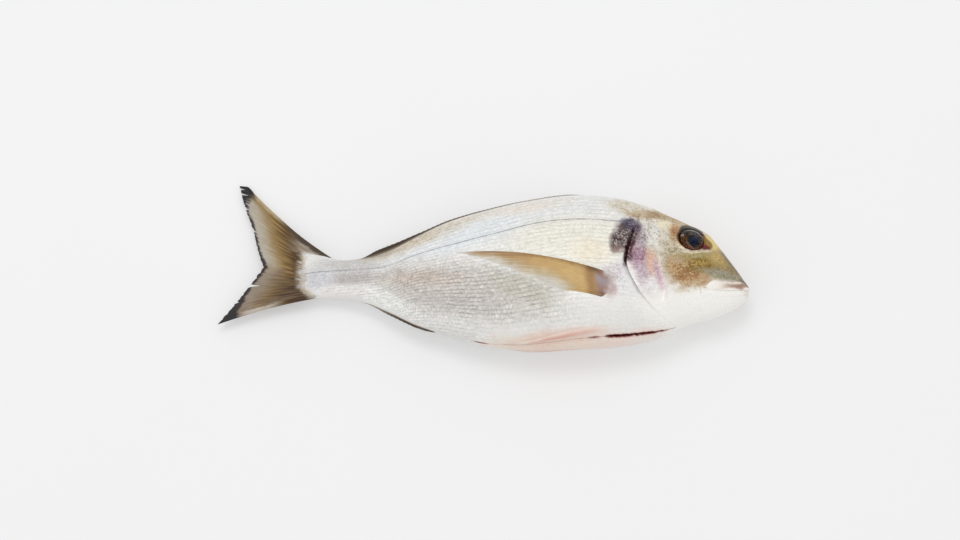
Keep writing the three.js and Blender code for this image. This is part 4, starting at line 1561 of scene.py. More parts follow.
@dataclass
class Eye:
    """An eyeball with its iris and pupil, and the clear cornea over it."""

    shop: Shop
    t: float = 34.9
    y: float = 7.3
    radius: float = 8.9
    half_depth: float = 5.5
    proud: float = 2.7
    rim_width: float = 1.3
    rim_proud: float = 0.55
    cornea: float = 0.3
    iris: float = 6.4
    pupil: float = 3.5
    pupil_place: tuple[float, float] = (0.9, -2.4)
    pupil_stretch: float = 1.15
    corner_reach: float = 4.4
    corner_turn: float = 0.22
    corner_spread: float = 0.85
    brow_reach: float = 4.6
    segments: int = 72
    rings: int = 64

    def seat(self, side: Side) -> tuple[Array, Array]:
        """The eyeball's middle and its axes: forwards, up and out of the skin.

        Args:
            side: the flank.

        Returns:
            The middle and the axes as the columns of a matrix.
        """
        middle, out = self.shop.form.on_flank(self.t, self.y, side, self.proud - self.half_depth)
        ahead = np.array([1.0, 0.0, 0.0])
        ahead -= out * (ahead @ out)
        ahead /= np.linalg.norm(ahead)
        up = np.cross(out, ahead) * side.value
        return middle, np.stack([ahead, up, out], axis=1)

    def away(self, skin: Array, side: Side) -> tuple[Array, Array]:
        """How far skin points lie from the eye's axis, and at which angle round it.

        Args:
            skin: places in the fish frame.
            side: the flank.

        Returns:
            The distances and the angles, 0 forwards and 90 degrees up.
        """
        middle, axes = self.seat(side)
        local = (skin - middle) @ axes
        near = np.sign(skin[..., 2]) == side.value
        return np.where(near, np.hypot(local[..., 0], local[..., 1]), 99.0), np.arctan2(local[..., 1], local[..., 0])

    def opening(self, turn: Array) -> Array:
        """How far the lids' edge lies from the eye's axis: further in the front corner and under the brow."""
        corner = self.corner_reach * bump(turn + self.corner_turn, self.corner_spread)
        return self.radius + corner + self.brow_reach * bump(turn - 1.45, 1.3)

    def from_pupil(self, local: Array) -> Array:
        """How far places in the eye's own axes lie from the middle of the pupil, which is taller than wide."""
        ahead, up = self.pupil_place
        return np.hypot(local[:, 0] - ahead, (local[:, 1] - up) / self.pupil_stretch)

    def socket(self, away: Array) -> Array:
        """The relief of the eye's rim and the hollow under the ball."""
        rim = self.rim_proud * bump(away - self.radius - 0.6 * self.rim_width, self.rim_width)
        return rim - 3.4 * (1 - smoothstep(away, self.radius - 2.6, self.radius - 0.1))

    def ball(self, side: Side) -> bpy.types.Object:
        """Builds the eyeball, its iris sunk and its pupil swelling."""
        bpy.ops.object.select_all(action="DESELECT")
        bpy.ops.mesh.primitive_uv_sphere_add(segments=self.segments, ring_count=self.rings, radius=1)
        piece = bpy.context.object
        piece.name = piece.data.name = f"eyeball_{side.name.lower()}"
        piece.data.uv_layers[0].name = BAKE_MAP
        local = Bench.places(piece)
        local *= np.array([self.radius - self.cornea, self.radius - self.cornea, self.half_depth - self.cornea])
        away = np.hypot(local[:, 0], local[:, 1])
        front = local[:, 2] > 0
        swelling = 0.5 * bump(self.from_pupil(local), self.pupil + 0.6)
        sunk = 0.55 * (1 - smoothstep(away, self.iris - 1.6, self.iris)) - swelling
        local[:, 2] -= np.where(front, sunk, 0.0)
        Bench.colour(piece, TINT, self.colours(local, away))
        middle, axes = self.seat(side)
        Bench.move(piece, middle + local @ axes.T)
        Bench.seal(piece)
        Bench.smooth(piece)
        return piece

    def colours(self, local: Array, away: Array) -> Array:
        """The eyeball's colours, from its axis outwards.

        Args:
            local: places in the eye's own axes.
            away: their distances from the axis.

        Returns:
            Linear colours with a fourth number.
        """
        turn = np.arctan2(local[:, 1], local[:, 0])
        grain = Grain(21)(np.stack([away * 1.5, turn * 6, local[:, 2] * 0], axis=1), 1.0)
        colour = np.broadcast_to(np.array([78.0, 62, 49]), local.shape).copy()

        def lay(display: Colour, mask: Array) -> None:
            """Lays a colour over the others."""
            nonlocal colour
            colour = lerp(colour, np.array(display, float), np.clip(mask, 0, 1)[:, None])

        from_pupil = self.from_pupil(local)
        upper = smoothstep(local[:, 1], -0.5, 4.0)
        lay((56, 54, 50), upper * 0.92)
        lay((122, 80, 60), (0.5 + 0.5 * grain) * smoothstep(from_pupil, 4.4, 5.6) * (1 - upper) * 0.7)
        # painted highlight: a pinkish glint on the left of the iris
        lay((196, 166, 158), bump(np.hypot(local[:, 0] + 6.0, local[:, 1] - 1.4), 2.0) * 0.9)
        lay((62, 46, 38), smoothstep(away + 0.5 * grain, 6.8, 8.0) * smoothstep(local[:, 1], -6.0, -1.0))
        lay((104, 64, 48), smoothstep(away + 0.5 * grain, 6.8, 8.0) * (1 - smoothstep(local[:, 1], -6.0, -1.0)))
        lay((150, 124, 66), bump(np.hypot(local[:, 0] - 9.4, local[:, 1] - 0.4), 3.0) * 1.4)
        lay((134, 36, 66), bump(away - 8.4, 1.6) * bump(turn + 0.42, 0.34) * 1.3)
        # painted highlight: light grey arcs beside the pupil
        lay((146, 138, 138), bump(from_pupil - self.pupil - 0.9, 0.8) * bump(np.abs(turn + 0.2) - 1.6, 1.5) * 0.5)
        lay((50, 54, 66), 1 - smoothstep(from_pupil, self.pupil - 0.4, self.pupil + 0.4))
        # painted highlight: bluish glints in the pupil
        lay((58, 70, 104), 0.6 * bump(from_pupil, 2.2) * smoothstep(grain, -0.6, 0.6))
        return np.concatenate([albedo(colour), np.zeros((len(local), 1))], axis=1)

    def clear_skin(self, side: Side) -> bpy.types.Object:
        """Builds the cornea: the front of the eye's outline as a thin clear shell."""
        bpy.ops.object.select_all(action="DESELECT")
        bpy.ops.mesh.primitive_uv_sphere_add(segments=self.segments, ring_count=self.rings, radius=1)
        piece = bpy.context.object
        piece.name = piece.data.name = f"cornea_{side.name.lower()}"
        piece.data.uv_layers[0].name = BAKE_MAP
        Bench.move(piece, Bench.places(piece) * np.array([self.radius, self.radius, self.half_depth]))
        Bench.only(piece)
        bpy.ops.object.mode_set(mode="EDIT")
        bpy.ops.mesh.select_all(action="SELECT")
        bpy.ops.mesh.bisect(plane_co=(0, 0, 0.2 * self.half_depth), plane_no=(0, 0, 1), clear_inner=True)
        bpy.ops.object.mode_set(mode="OBJECT")
        Bench.apply(piece, "SOLIDIFY", thickness=0.6 * self.cornea, offset=-1.0)
        middle, axes = self.seat(side)
        Bench.move(piece, middle + Bench.places(piece) @ axes.T)
        Bench.seal(piece, 1e-5)
        Bench.smooth(piece, 50)
        return piece

    def build(self, iris: bpy.types.Material, clear: bpy.types.Material) -> None:
        """Builds both eyes."""
        for side in Side:
            node = f"eye_{side.name.lower()}"
            self.shop.finish(self.ball(side), iris, node, Slot.EYE)
            self.shop.finish(self.clear_skin(side), clear, node, Slot.EYE)


@dataclass
class Mouth:
    """The mouth's line and its two lips, which run from corner to corner round the snout."""

    shop: Shop
    corner: float = 27.0
    upper_rows: Rows = ((0, -21.3), (6, -22.1), (14, -22.9), (22, -23.9), (27, -25.8))
    upper_half_rows: Rows = ((0, 1.7), (6, 2.8), (14, 3.6), (22, 3), (27, 0.6))
    line_rows: Rows = ((0, -22.6), (5.6, -24.8), (11.8, -26.3), (18, -27), (23, -27.2), (27, -26.6))
    lower_half: float = 1.6
    upper_proud: float = 0.6
    lower_proud: float = 0.2
    steps: int = 90
    sides: int = 18

    @cached_property
    def line(self) -> Curve:
        """The level of the closed mouth."""
        return Curve(self.line_rows)

    def groove(self, t: Array, y: Array) -> Array:
        """The relief of the mouth's line."""
        shown = 1 - smoothstep(t, self.corner - 2, self.corner + 0.5)
        return -0.3 * bump(y - self.line(t), 0.9) * shown

    def stops(self, level: Curve, corner: float, drop: float = 0.0) -> tuple[Array, Array, Array, Array]:
        """Places along the skin from the right corner of the mouth round the snout to the left one.

        Args:
            level: the level along the body.
            corner: where the run starts and ends.
            drop: how far below that level it runs.

        Returns:
            The places, the skin's normals, the distances behind the snout, and the shares from -1 to 1.
        """
        form = self.shop.form
        share = np.linspace(-1, 1, 2 * self.steps + 1)
        search = np.arange(0, 3, 0.01)
        nose = search[np.argmax(form.half_at(search, level(search) - drop) > 0.02)]
        t = nose + (corner - nose) * share**2
        y = level(t) - drop
        right, right_normal = form.on_flank(t, y, Side.RIGHT)
        left, left_normal = form.on_flank(t, y, Side.LEFT)
        first = (share < 0)[:, None]
        point = np.where(first, right, left)
        normal = np.where(first, right_normal, left_normal)
        point[self.steps, 2] = 0.0
        normal[self.steps] = (1.0, 0.0, 0.0)
        return point, normal, t, share

    def bead(self, name: str, point: Array, normal: Array, half: Array, proud: Array) -> tuple[Wrapped, Array]:
        """Wraps a round bead along the skin.

        Args:
            name: the piece's name.
            point: the places along it.
            normal: the skin's normals there.
            half: its half widths.
            proud: its heights.

        Returns:
            The wrapped grid and its places.
        """
        ahead = np.gradient(point, axis=0)
        ahead /= np.linalg.norm(ahead, axis=1, keepdims=True)
        across = np.cross(ahead, normal)
        across /= np.linalg.norm(across, axis=1, keepdims=True)
        turn = np.linspace(0, 2 * math.pi, 2 * self.sides + 1)
        up, out = np.sin(turn), np.cos(turn)
        height = np.where(up > 0, np.abs(up) ** 1.5 * proud[:, None], up * 1.4)
        ring = (point[:, None] + across[:, None] * (half[:, None] * out)[..., None]
                + normal[:, None] * height[..., None])
        return Bench.wrap(name, ring), ring

    def build(self) -> None:
        """Builds both lips."""
        taper_start, taper_end = 0.84, 1.02
        point, normal, t, share = self.stops(Curve(self.upper_rows), self.corner - 0.6)
        taper = 1 - smoothstep(np.abs(share), taper_start, taper_end)
        wrapped, ring = self.bead("upper_lip", point, normal, Curve(self.upper_half_rows)(t),
                                  0.1 + self.upper_proud * taper)
        paint = Paint(ring, np.broadcast_to(np.array([236.0, 226, 217]), ring.shape).copy())
        along, height = -ring[..., 0], ring[..., 1] - self.line(-ring[..., 0])
        uneven = height + 0.9 * paint.coarse + 0.5 * paint.fine
        paint.lay((160, 132, 117), bump(uneven - 2.6, 2.8) * (1 - smoothstep(along, 8, 20)))
        paint.lay((124, 110, 96), (1 - smoothstep(along, 0.4, 3.0)) * 0.8)
        paint.lay((166, 158, 142), smoothstep(uneven, 4.9, 6.2) * 0.8)
        paint.lay((239, 234, 227), smoothstep(along + 0.8 * paint.fine, 15, 23))
        paint.lay((240, 236, 231), 1 - smoothstep(uneven, 0.2, 1.4))
        self.close(wrapped, paint)
        point, normal, t, share = self.stops(self.line, self.corner - 3, self.lower_half + 0.4)
        taper = 1 - smoothstep(np.abs(share), taper_start - 0.1, taper_end)
        wrapped, ring = self.bead("lower_lip", point, normal, np.full_like(t, self.lower_half),
                                  0.05 + self.lower_proud * taper)
        paint = Paint(ring, np.broadcast_to(np.array([241.0, 239, 234]), ring.shape).copy())
        paint.lay((218, 206, 197), 0.6 * (1 - smoothstep(-ring[..., 0], 1, 6)))
        self.close(wrapped, paint)

    def close(self, wrapped: Wrapped, paint: Paint) -> None:
        """Colours, seals and finishes a lip."""
        paint.store(wrapped)
        Bench.seal(wrapped.piece)
        Bench.smooth(wrapped.piece)
        self.shop.finish(wrapped.piece, self.shop.skin, "fish", Slot.SKIN)


@dataclass
class Head:
    """The head, from the snout to the free margin of the gill covers."""

    shop: Shop
    eye: Eye
    mouth: Mouth
    around: int = 72
    first: float = 0.12
    spacing: tuple[float, float] = (0.22, 0.45)
    preopercle_rows: Rows = ((-40, 54.6), (-36.7, 53.9), (-30.4, 52.7), (-20.6, 53.9), (-11.8, 55.2), (3.6, 57),
                             (9, 57.4))
    preopercle_rise: float = 0.45
    nostrils: Rows = ((18.4, 1.8), (20.9, 3.4))
    # how the margin turns in: distance behind it and depth under the skin
    margin: Rows = ((0.3, 0.1), (0.42, 0.4), (0.3, 0.75), (-0.2, 1.05), (-2.0, 1.3), (-5.0, 1.7))

    def rings(self) -> Array:
        """Where the rings stand: close at the snout, even along the head."""
        places = [self.first]
        while places[-1] < self.shop.gill.station:
            places.append(places[-1] + float(lerp(*self.spacing, smoothstep(places[-1], 2, 14))))
        places[-1] = self.shop.gill.station
        return np.array(places)

    def angles(self, rings: Array) -> Array:
        """Columns spread evenly over each quarter of every ring."""
        outlines = Outlines(self.shop.form, rings)
        rows = []
        for i in range(rings.size):
            edges = [outlines.quarter(i, k) for k in range(5)]
            spread = [np.linspace(edges[k], edges[k + 1], self.around + 1)[: self.around] for k in range(4)]
            rows.append(outlines.angles(i, np.concatenate(spread + [edges[:1]])))
        return np.array(rows)

    def relief(self, ring: Array, t: Array, y: Array, skin: Array) -> Array:
        """The height of everything on the head over its plain skin.

        Args:
            ring: the ring of each point.
            t: its place behind the snout.
            y: its level.
            skin: its place.

        Returns:
            The heights.
        """
        gill = self.shop.gill
        rise = gill.lift * smoothstep(ring - gill.station, -gill.rise, 0) * gill.step_fade(y)
        behind = t - Curve(self.preopercle_rows)(y)
        shown = smoothstep(y, -42, -34) * (1 - smoothstep(y, 3, 12))
        rise += self.preopercle_rise * smoothstep(behind, -9, -0.4) * (1 - smoothstep(behind, -0.4, 0.9)) * shown
        for place in self.nostrils:
            rise -= 0.5 * bump(np.hypot(t - place[0], y - place[1]), 1.0)
        rise += self.mouth.groove(t, y)
        rise += 0.2 * Grain(31)(skin, 8.0) * smoothstep(t, 6, 20) + 0.05 * Grain(32)(skin, 2.2)
        for side in Side:
            away, _ = self.eye.away(skin, side)
            rise += self.eye.socket(away)
        return rise

    def build(self) -> bpy.types.Object:
        """Builds the head.

        Returns:
            The finished piece.
        """
        form, gill = self.shop.form, self.shop.gill
        rings = self.rings()
        ring = rings[:, None]
        angle = self.angles(rings)
        plain_y, _ = form.loop_point(ring, angle)
        t = gill.bend(ring, plain_y)
        y, z = form.loop_point(t, angle)
        skin = np.stack([-t, y, z], axis=-1)
        normal = outward_normals(skin, form)
        skin = skin + normal * self.relief(ring, t, y, skin)[..., None]
        back = skin[-1] - skin[-3]
        back /= np.linalg.norm(back, axis=1, keepdims=True)
        turned = [skin[-1] + back * behind - normal[-1] * depth for behind, depth in self.margin]
        whole = np.concatenate([skin, np.array(turned)], axis=0)
        whole[:, -1] = whole[:, 0]
        pattern = np.stack([-whole[..., 0] / 1.9, HEAD_ROWS + whole[..., 1] / 2.0], axis=-1)
        wrapped = Bench.wrap("head", whole, pattern)
        paint, scaly = self.paint(whole)
        paint.store(wrapped, scaly)
        Bench.seal(wrapped.piece)
        Bench.smooth(wrapped.piece, 60)
        return self.shop.finish(wrapped.piece, self.shop.skin, "fish", Slot.SKIN)

    def paint(self, whole: Array) -> tuple[Paint, Array]:
        """Colours the head.

        Args:
            whole: its places.

        Returns:
            The colours and how scaly each point is.
        """
        t, y = -whole[..., 0], whole[..., 1]
        paint = Paint(whole, np.broadcast_to(np.array([240.0, 238, 233]), whole.shape).copy())
        paint.lay(SILVER, smoothstep(y, -12, 2))
        for patch in CROWN_PATCHES + HEAD_PATCHES + SHOULDER_PATCHES:
            paint.lay_patch(patch)
        for side in Side:
            away, turn = self.eye.away(whole, side)
            reach = away - self.eye.opening(turn)
            uneven = reach + 0.5 * paint.fine
            below = smoothstep(-np.sin(turn + 0.1), 0.0, 0.5)
            brow = smoothstep(np.sin(turn - 0.5), 0.0, 0.6)
            bright = smoothstep(turn, -0.44, -0.3) * (1 - smoothstep(turn, 0.4, 0.62))
            paint.lay((226, 212, 184), bump(uneven - 2.0, 0.9) * below * 0.85)
            paint.lay((218, 194, 126), bump(uneven - 1.6, 2.4) * bright * 0.9)
            inside = 1 - smoothstep(uneven / lerp(0.5, 1.6, brow), -1.0, 1.0)
            paint.lay((92, 54, 44), inside)
            paint.lay((68, 62, 54), inside * brow)
            paint.lay((142, 114, 56), inside * bright)
            paint.lay((128, 36, 58), inside * bump(turn + 0.52, 0.2) * (1 - smoothstep(away, 10.0, 12.0)))
            lid = lerp(1.0, 1.7, brow)
            paint.lay((98, 60, 48), bump(uneven, lid) * (1 - brow) * (1 - bright) * 0.9)
            paint.lay((66, 58, 48), bump(uneven, lid) * brow * (1 - bright) * 0.4)
            hollow = 1 - smoothstep(away, self.eye.radius - 1.2, self.eye.radius - 0.4)
            paint.lay((76, 52, 42), hollow * (1 - bright))
            paint.lay((132, 106, 54), hollow * bright)
            paint.cover = paint.cover * smoothstep(reach, 0.6, 2.4)
        edge = 1 - smoothstep(y, -22, -15)
        gill = self.shop.gill
        margin = t - gill.station - gill.shift(y)
        paint.lay((236, 232, 229), edge * smoothstep(margin, -2.4, -1.0) * gill.step_fade(y))
        shaded = smoothstep(margin + 0.9 * paint.fine + 0.7 * paint.coarse, -3.4, -1.6) * gill.mouth(y)
        paint.lay((76, 52, 58), shaded * smoothstep(y, -14, -9) * lerp(1.0, 0.75, smoothstep(y, 2, 9)))
        cheek = bump(np.hypot((t - 42) / 16, (y + 16) / 14), 1.2)
        nape = smoothstep(y, 14, 24) * smoothstep(t, 40, 56)
        cover = smoothstep(t, 54, 60) * smoothstep(y, -34, -26)
        return paint, np.clip(0.7 * cheek + 0.6 * nape + 0.4 * cover, 0, 0.8)


class Sheets:
    """Help for sheets that run round a thin fin, its upper face first."""

    @staticmethod
    def doubled(shape: tuple[int, ...], *values: Array) -> list[Array]:
        """Spreads numbers of one face over both.

        Args:
            shape: the rows and columns of one face.
            *values: numbers that one face's shape can take up.

        Returns:
            Each of them for every place of the closed sheet.
        """
        faces = [np.broadcast_to(value, shape)[..., None] for value in values]
        return [closed_sheet(face, face)[..., 0] for face in faces]

    @staticmethod
    def pattern(shape: tuple[int, ...], across: Array, along: Array) -> Array:
        """The coordinates that a fin's streaks follow, the same on both faces."""
        return np.stack(Sheets.doubled(shape, across, along), axis=-1)

    @staticmethod
    def closing(first: float, rows: int) -> Array:
        """Shares from first to 1 for a fin's rows, both ends twice: the doubled rows are where its faces meet."""
        return np.concatenate([[first], np.linspace(first, 1, rows + 1), [1.0]])[:, None]

    @staticmethod
    def away(sheet: Array, line: Array) -> Array:
        """How far each place lies from the nearest point of a line, seen from the side.

        Args:
            sheet: places, rows by columns by x, y, z.
            line: the line's points.

        Returns:
            The distances.
        """
        nearest = np.full(sheet.shape[:-1], np.inf)
        for point in line:
            nearest = np.minimum(nearest, np.hypot(sheet[..., 0] - point[0], sheet[..., 1] - point[1]))
        return nearest


@dataclass
class RayPattern:
    """Fin rays that fork twice on their way to the fin's edge."""

    rays: int
    first_fork: tuple[float, float] = (0.3, 0.46)
    second_fork: tuple[float, float] = (0.6, 0.78)

    def wave(self, across: Array, count: int) -> Array:
        """1 on each of so many rays and 0 in the web between them."""
        return 0.5 - 0.5 * np.cos(across * count * 2 * math.pi)

    def height(self, across: Array, along: Array) -> Array:
        """The rays' relief.

        Args:
            across: shares across the fan.
            along: shares from the fin's root to its edge.

        Returns:
            Heights from 0 to 1.
        """
        once = lerp(self.wave(across, self.rays), self.wave(across, 2 * self.rays), smoothstep(along, *self.first_fork))
        return lerp(once, self.wave(across, 4 * self.rays), smoothstep(along, *self.second_fork))


@dataclass(frozen=True)
class Tear:
    """A split between two rays, from the fin's edge inwards."""

    across: float
    depth: float
    half_width: float

    def cut(self, across: Array) -> Array:
        """How much of the rays' length the split takes away."""
        return self.depth * np.clip(1 - np.abs(across - self.across) / self.half_width, 0, 1)


@dataclass
class TailFin:
    """The forked tail fin: rays that fan out from the tail root."""

    shop: Shop
    root_upper: tuple[float, float] = (258.0, 3.6)
    root_lower: tuple[float, float] = (264.0, -22.4)
    upper_tip: tuple[float, float] = (317.6, 56.4)
    fork: tuple[float, float] = (300.8, -1.2)
    lower_tip: tuple[float, float] = (328.4, -39.8)
    upper_lobe: Rows = ((0, 0, 56.4), (0.28, 4.4, 40), (0.6, 9.8, 24.5), (0.85, 13.2, 10), (1, 16.8, -1.2))
    ray_share: float = 0.56
    upper_bow: float = -3.0
    lower_bow: float = 1.6
    lower_sag: float = 0.6
    # how far the blunt upper tip stands over a straight edge, along the fin
    blunt_rows: Rows = ((0, 0), (0.36, 1.2), (0.575, 2.6), (0.815, 4.2), (0.893, 5.2), (0.96, 2.3), (1, 0))
    blunt_share: float = 0.22
    root_half: float = 1.5
    web_half: float = 0.62
    edge_half: float = 0.22
    ray_relief: float = 0.26
    columns_per_ray: int = 16
    rows: int = 76
    rays: RayPattern = field(default_factory=lambda: RayPattern(14))
    tears: tuple[Tear, ...] = (
        Tear(0.022, 0.07, 0.006),
        Tear(0.055, 0.12, 0.007),
        Tear(0.15, 0.04, 0.012),
        Tear(0.335, 0.05, 0.01),
        Tear(0.7, 0.2, 0.011),
        Tear(0.83, 0.03, 0.008),
    )

    def trailing(self, across: Array) -> tuple[Array, Array]:
        """The trailing edge.

        Args:
            across: shares across the fan, 0 at the upper tip and 1 at the lower one.

        Returns:
            The edge's places behind the snout and levels.
        """
        part = np.clip(across / self.ray_share, 0, 1)
        upper_t = self.upper_tip[0] - Curve(self.upper_lobe, 1)(part)
        upper_y = Curve(self.upper_lobe, 2)(part)
        part = np.clip((across - self.ray_share) / (1 - self.ray_share), 0, 1)
        sag = self.lower_sag * np.sin(math.pi * part)
        lower_t = lerp(self.fork[0], self.lower_tip[0], part) - sag
        lower_y = lerp(self.fork[1], self.lower_tip[1], part) - 0.6 * sag
        upper = across <= self.ray_share
        return np.where(upper, upper_t, lower_t), np.where(upper, upper_y, lower_y)

    def build(self) -> bpy.types.Object:
        """Builds the tail fin.

        Returns:
            The finished piece.
        """
        u = np.linspace(0, 1, self.rays.rays * self.columns_per_ray + 1)[None, :]
        v = Sheets.closing(0.0, self.rows)
        ragged = 0.01 * Grain(41)(np.stack([u * 300, u * 0, u * 0], axis=-1), 3.0)
        scallop = 0.004 * (1 - self.rays.wave(u, 2 * self.rays.rays))
        ends = np.minimum(1, 12 * np.minimum(u, 1 - u))
        short = (ragged + scallop) * ends + sum(tear.cut(u) for tear in self.tears)
        along = v * (1 - short)
        end_t, end_y = self.trailing(u)
        root_t = lerp(self.root_upper[0], self.root_lower[0], u)
        root_y = lerp(self.root_upper[1], self.root_lower[1], u)
        bow = lerp(self.upper_bow, self.lower_bow, u) * 4 * along * (1 - along)
        t = lerp(root_t, end_t, along)
        y = lerp(root_y, end_y, along) + bow
        y = y + Curve(self.blunt_rows)(along) * (1 - smoothstep(u, 0, self.blunt_share))
        web = lerp(self.root_half, self.web_half, smoothstep(along, 0, 0.45))
        half = lerp(web, self.edge_half, smoothstep(along, 0.5, 1))
        border = np.minimum(u, 1 - u)
        half = half + 0.5 * (1 - smoothstep(border, 0, 0.07)) * smoothstep(border, -0.01, 0.012) * (1 - along)
        ray = self.rays.height(u, along)
        half = half * (0.55 + 0.45 * smoothstep(border, 0, 0.02))
        half = half + self.ray_relief * (ray - 0.4) * smoothstep(along, 0.05, 0.3) * lerp(1.0, 0.45, along)
        half[0] = half[-1] = 0.0
        outer = np.stack([-t, y, half], axis=-1)
        inner = np.stack([-t, y, -half], axis=-1)
        sheet = closed_sheet(outer, inner)
        wrapped = Bench.wrap("tail_fin", sheet, Sheets.pattern(t.shape, u * 150, along * 6))
        paint = self.paint(sheet, *Sheets.doubled(t.shape, u, along, ray))
        paint.store(wrapped)
        Bench.seal(wrapped.piece)
        Bench.smooth(wrapped.piece, 50)
        return self.shop.finish(wrapped.piece, self.shop.fin, "fish", Slot.FINS)

    def paint(self, sheet: Array, u: Array, v: Array, ray: Array) -> Paint:
        """Colours the tail fin.

        Args:
            sheet: its places.
            u: shares across the fan.
            v: shares along the rays.
            ray: 1 on a ray and 0 in the web.

        Returns:
            The colours.
        """
        form = self.shop.form
        paint = Paint(sheet, np.broadcast_to(np.array([144.0, 118, 78]), sheet.shape).copy())
        across = u.shape[1] // 2
        t, y = -sheet[..., 0], sheet[..., 1]
        whole_edge = self.trailing(np.linspace(0, 1, 300))
        from_edge = Sheets.away(sheet, np.stack([-whole_edge[0], whole_edge[1]], axis=1))
        from_upper = Sheets.away(sheet, sheet[:, 0])
        from_lower = Sheets.away(sheet, sheet[:, across - 1])
        from_tips = [np.hypot(t - tip[0], y - tip[1]) for tip in (self.upper_tip, self.lower_tip)]
        rough = 0.6 * paint.fine + 0.7 * paint.coarse
        streak = Grain(44)(np.stack([u * 150, v * 5, u * 0], axis=-1), 1.0)
        upper = 1 - smoothstep(u + 0.03 * paint.coarse, 0.52, 0.62)
        paint.lay((74, 56, 33), 1 - smoothstep(v + 0.1 * streak, 0.36, 0.68))
        paint.lay((164, 139, 92), upper * bump(v - 0.7, 0.26) * smoothstep(streak, -0.9, 0.9) * 0.7)
        paint.lay((138, 120, 101), (1 - upper) * smoothstep(v + 0.1 * streak, 0.5, 0.8))
        paint.lay((112, 93, 72), (1 - upper) * smoothstep(streak, -0.3, 0.5) * bump(v - 0.52, 0.44))
        paint.lay((88, 66, 42), 0.3 * (1 - ray) * smoothstep(v, 0.2, 0.36) * smoothstep(from_edge, 5, 10))
        pale = 1 - smoothstep(from_edge + 1.8 * streak + rough, 2.5, 13.5)
        paint.lay((184, 177, 164), pale * upper * smoothstep(from_upper + rough, 0.8, 5.0))
        paint.lay((150, 138, 124), pale * (1 - upper) * 0.75)
        paint.lay((146, 134, 120), pale * 0.3 * (1 - ray))
        paint.lay((172, 156, 130), (1 - smoothstep(from_upper + rough, 0.4, 2.6)) * smoothstep(v, 0.42, 0.6))
        away_from_tip = smoothstep(from_tips[1], 12, 20)
        low = 1 - smoothstep(from_lower + rough + 1.2 * streak, 0.8, 4.0)
        paint.lay((184, 175, 164), low * smoothstep(v, 0.3, 0.55) * away_from_tip)
        brown = bump(from_lower - 4.5, 4.5) * smoothstep(streak, -0.3, 0.4) * smoothstep(v, 0.1, 0.25)
        paint.lay((116, 98, 80), brown * away_from_tip * 0.85)
        thick = 1.3 + 1.3 * bump(np.hypot(t - self.fork[0], y - self.fork[1]), 12)
        thick = thick + (1 - upper) * 3.4 * (1 - smoothstep(from_tips[1], 10, 36))
        paint.lay((54, 48, 48), (1 - smoothstep(from_edge + 0.7 * rough + 0.6 * streak - thick, -0.8, 0.9)) * 0.92)
        for reach, away in zip((12.0, 14.0), from_tips):
            paint.lay((40, 37, 38), 1 - smoothstep(away + 2.6 * streak + rough, reach - 2.5, reach + 2))
        dark = 1 - smoothstep(from_upper + rough, 1.8, 4.6)
        paint.lay((84, 74, 66), dark * (1 - smoothstep(t + rough, 281, 294)) * 0.92)
        lower_rays = lerp(0.0, 6.0, smoothstep(u, 0.7, 0.95))
        root = 1 - smoothstep(t + lower_rays + 1.4 * paint.fine + 1.3 * paint.coarse + 1.6 * streak, 275.0, 281.5)
        paint.lay((202, 199, 197), root * (1 - dark))
        over = smoothstep(y - form.back(t) + 0.6 * rough, -1.6, 1.2) * (1 - dark) * lerp(0.6, 1.0, smoothstep(streak, -0.6, 0.6))
        paint.lay((136, 121, 104), over * (1 - smoothstep(t + rough, 280, 290)))
        return paint


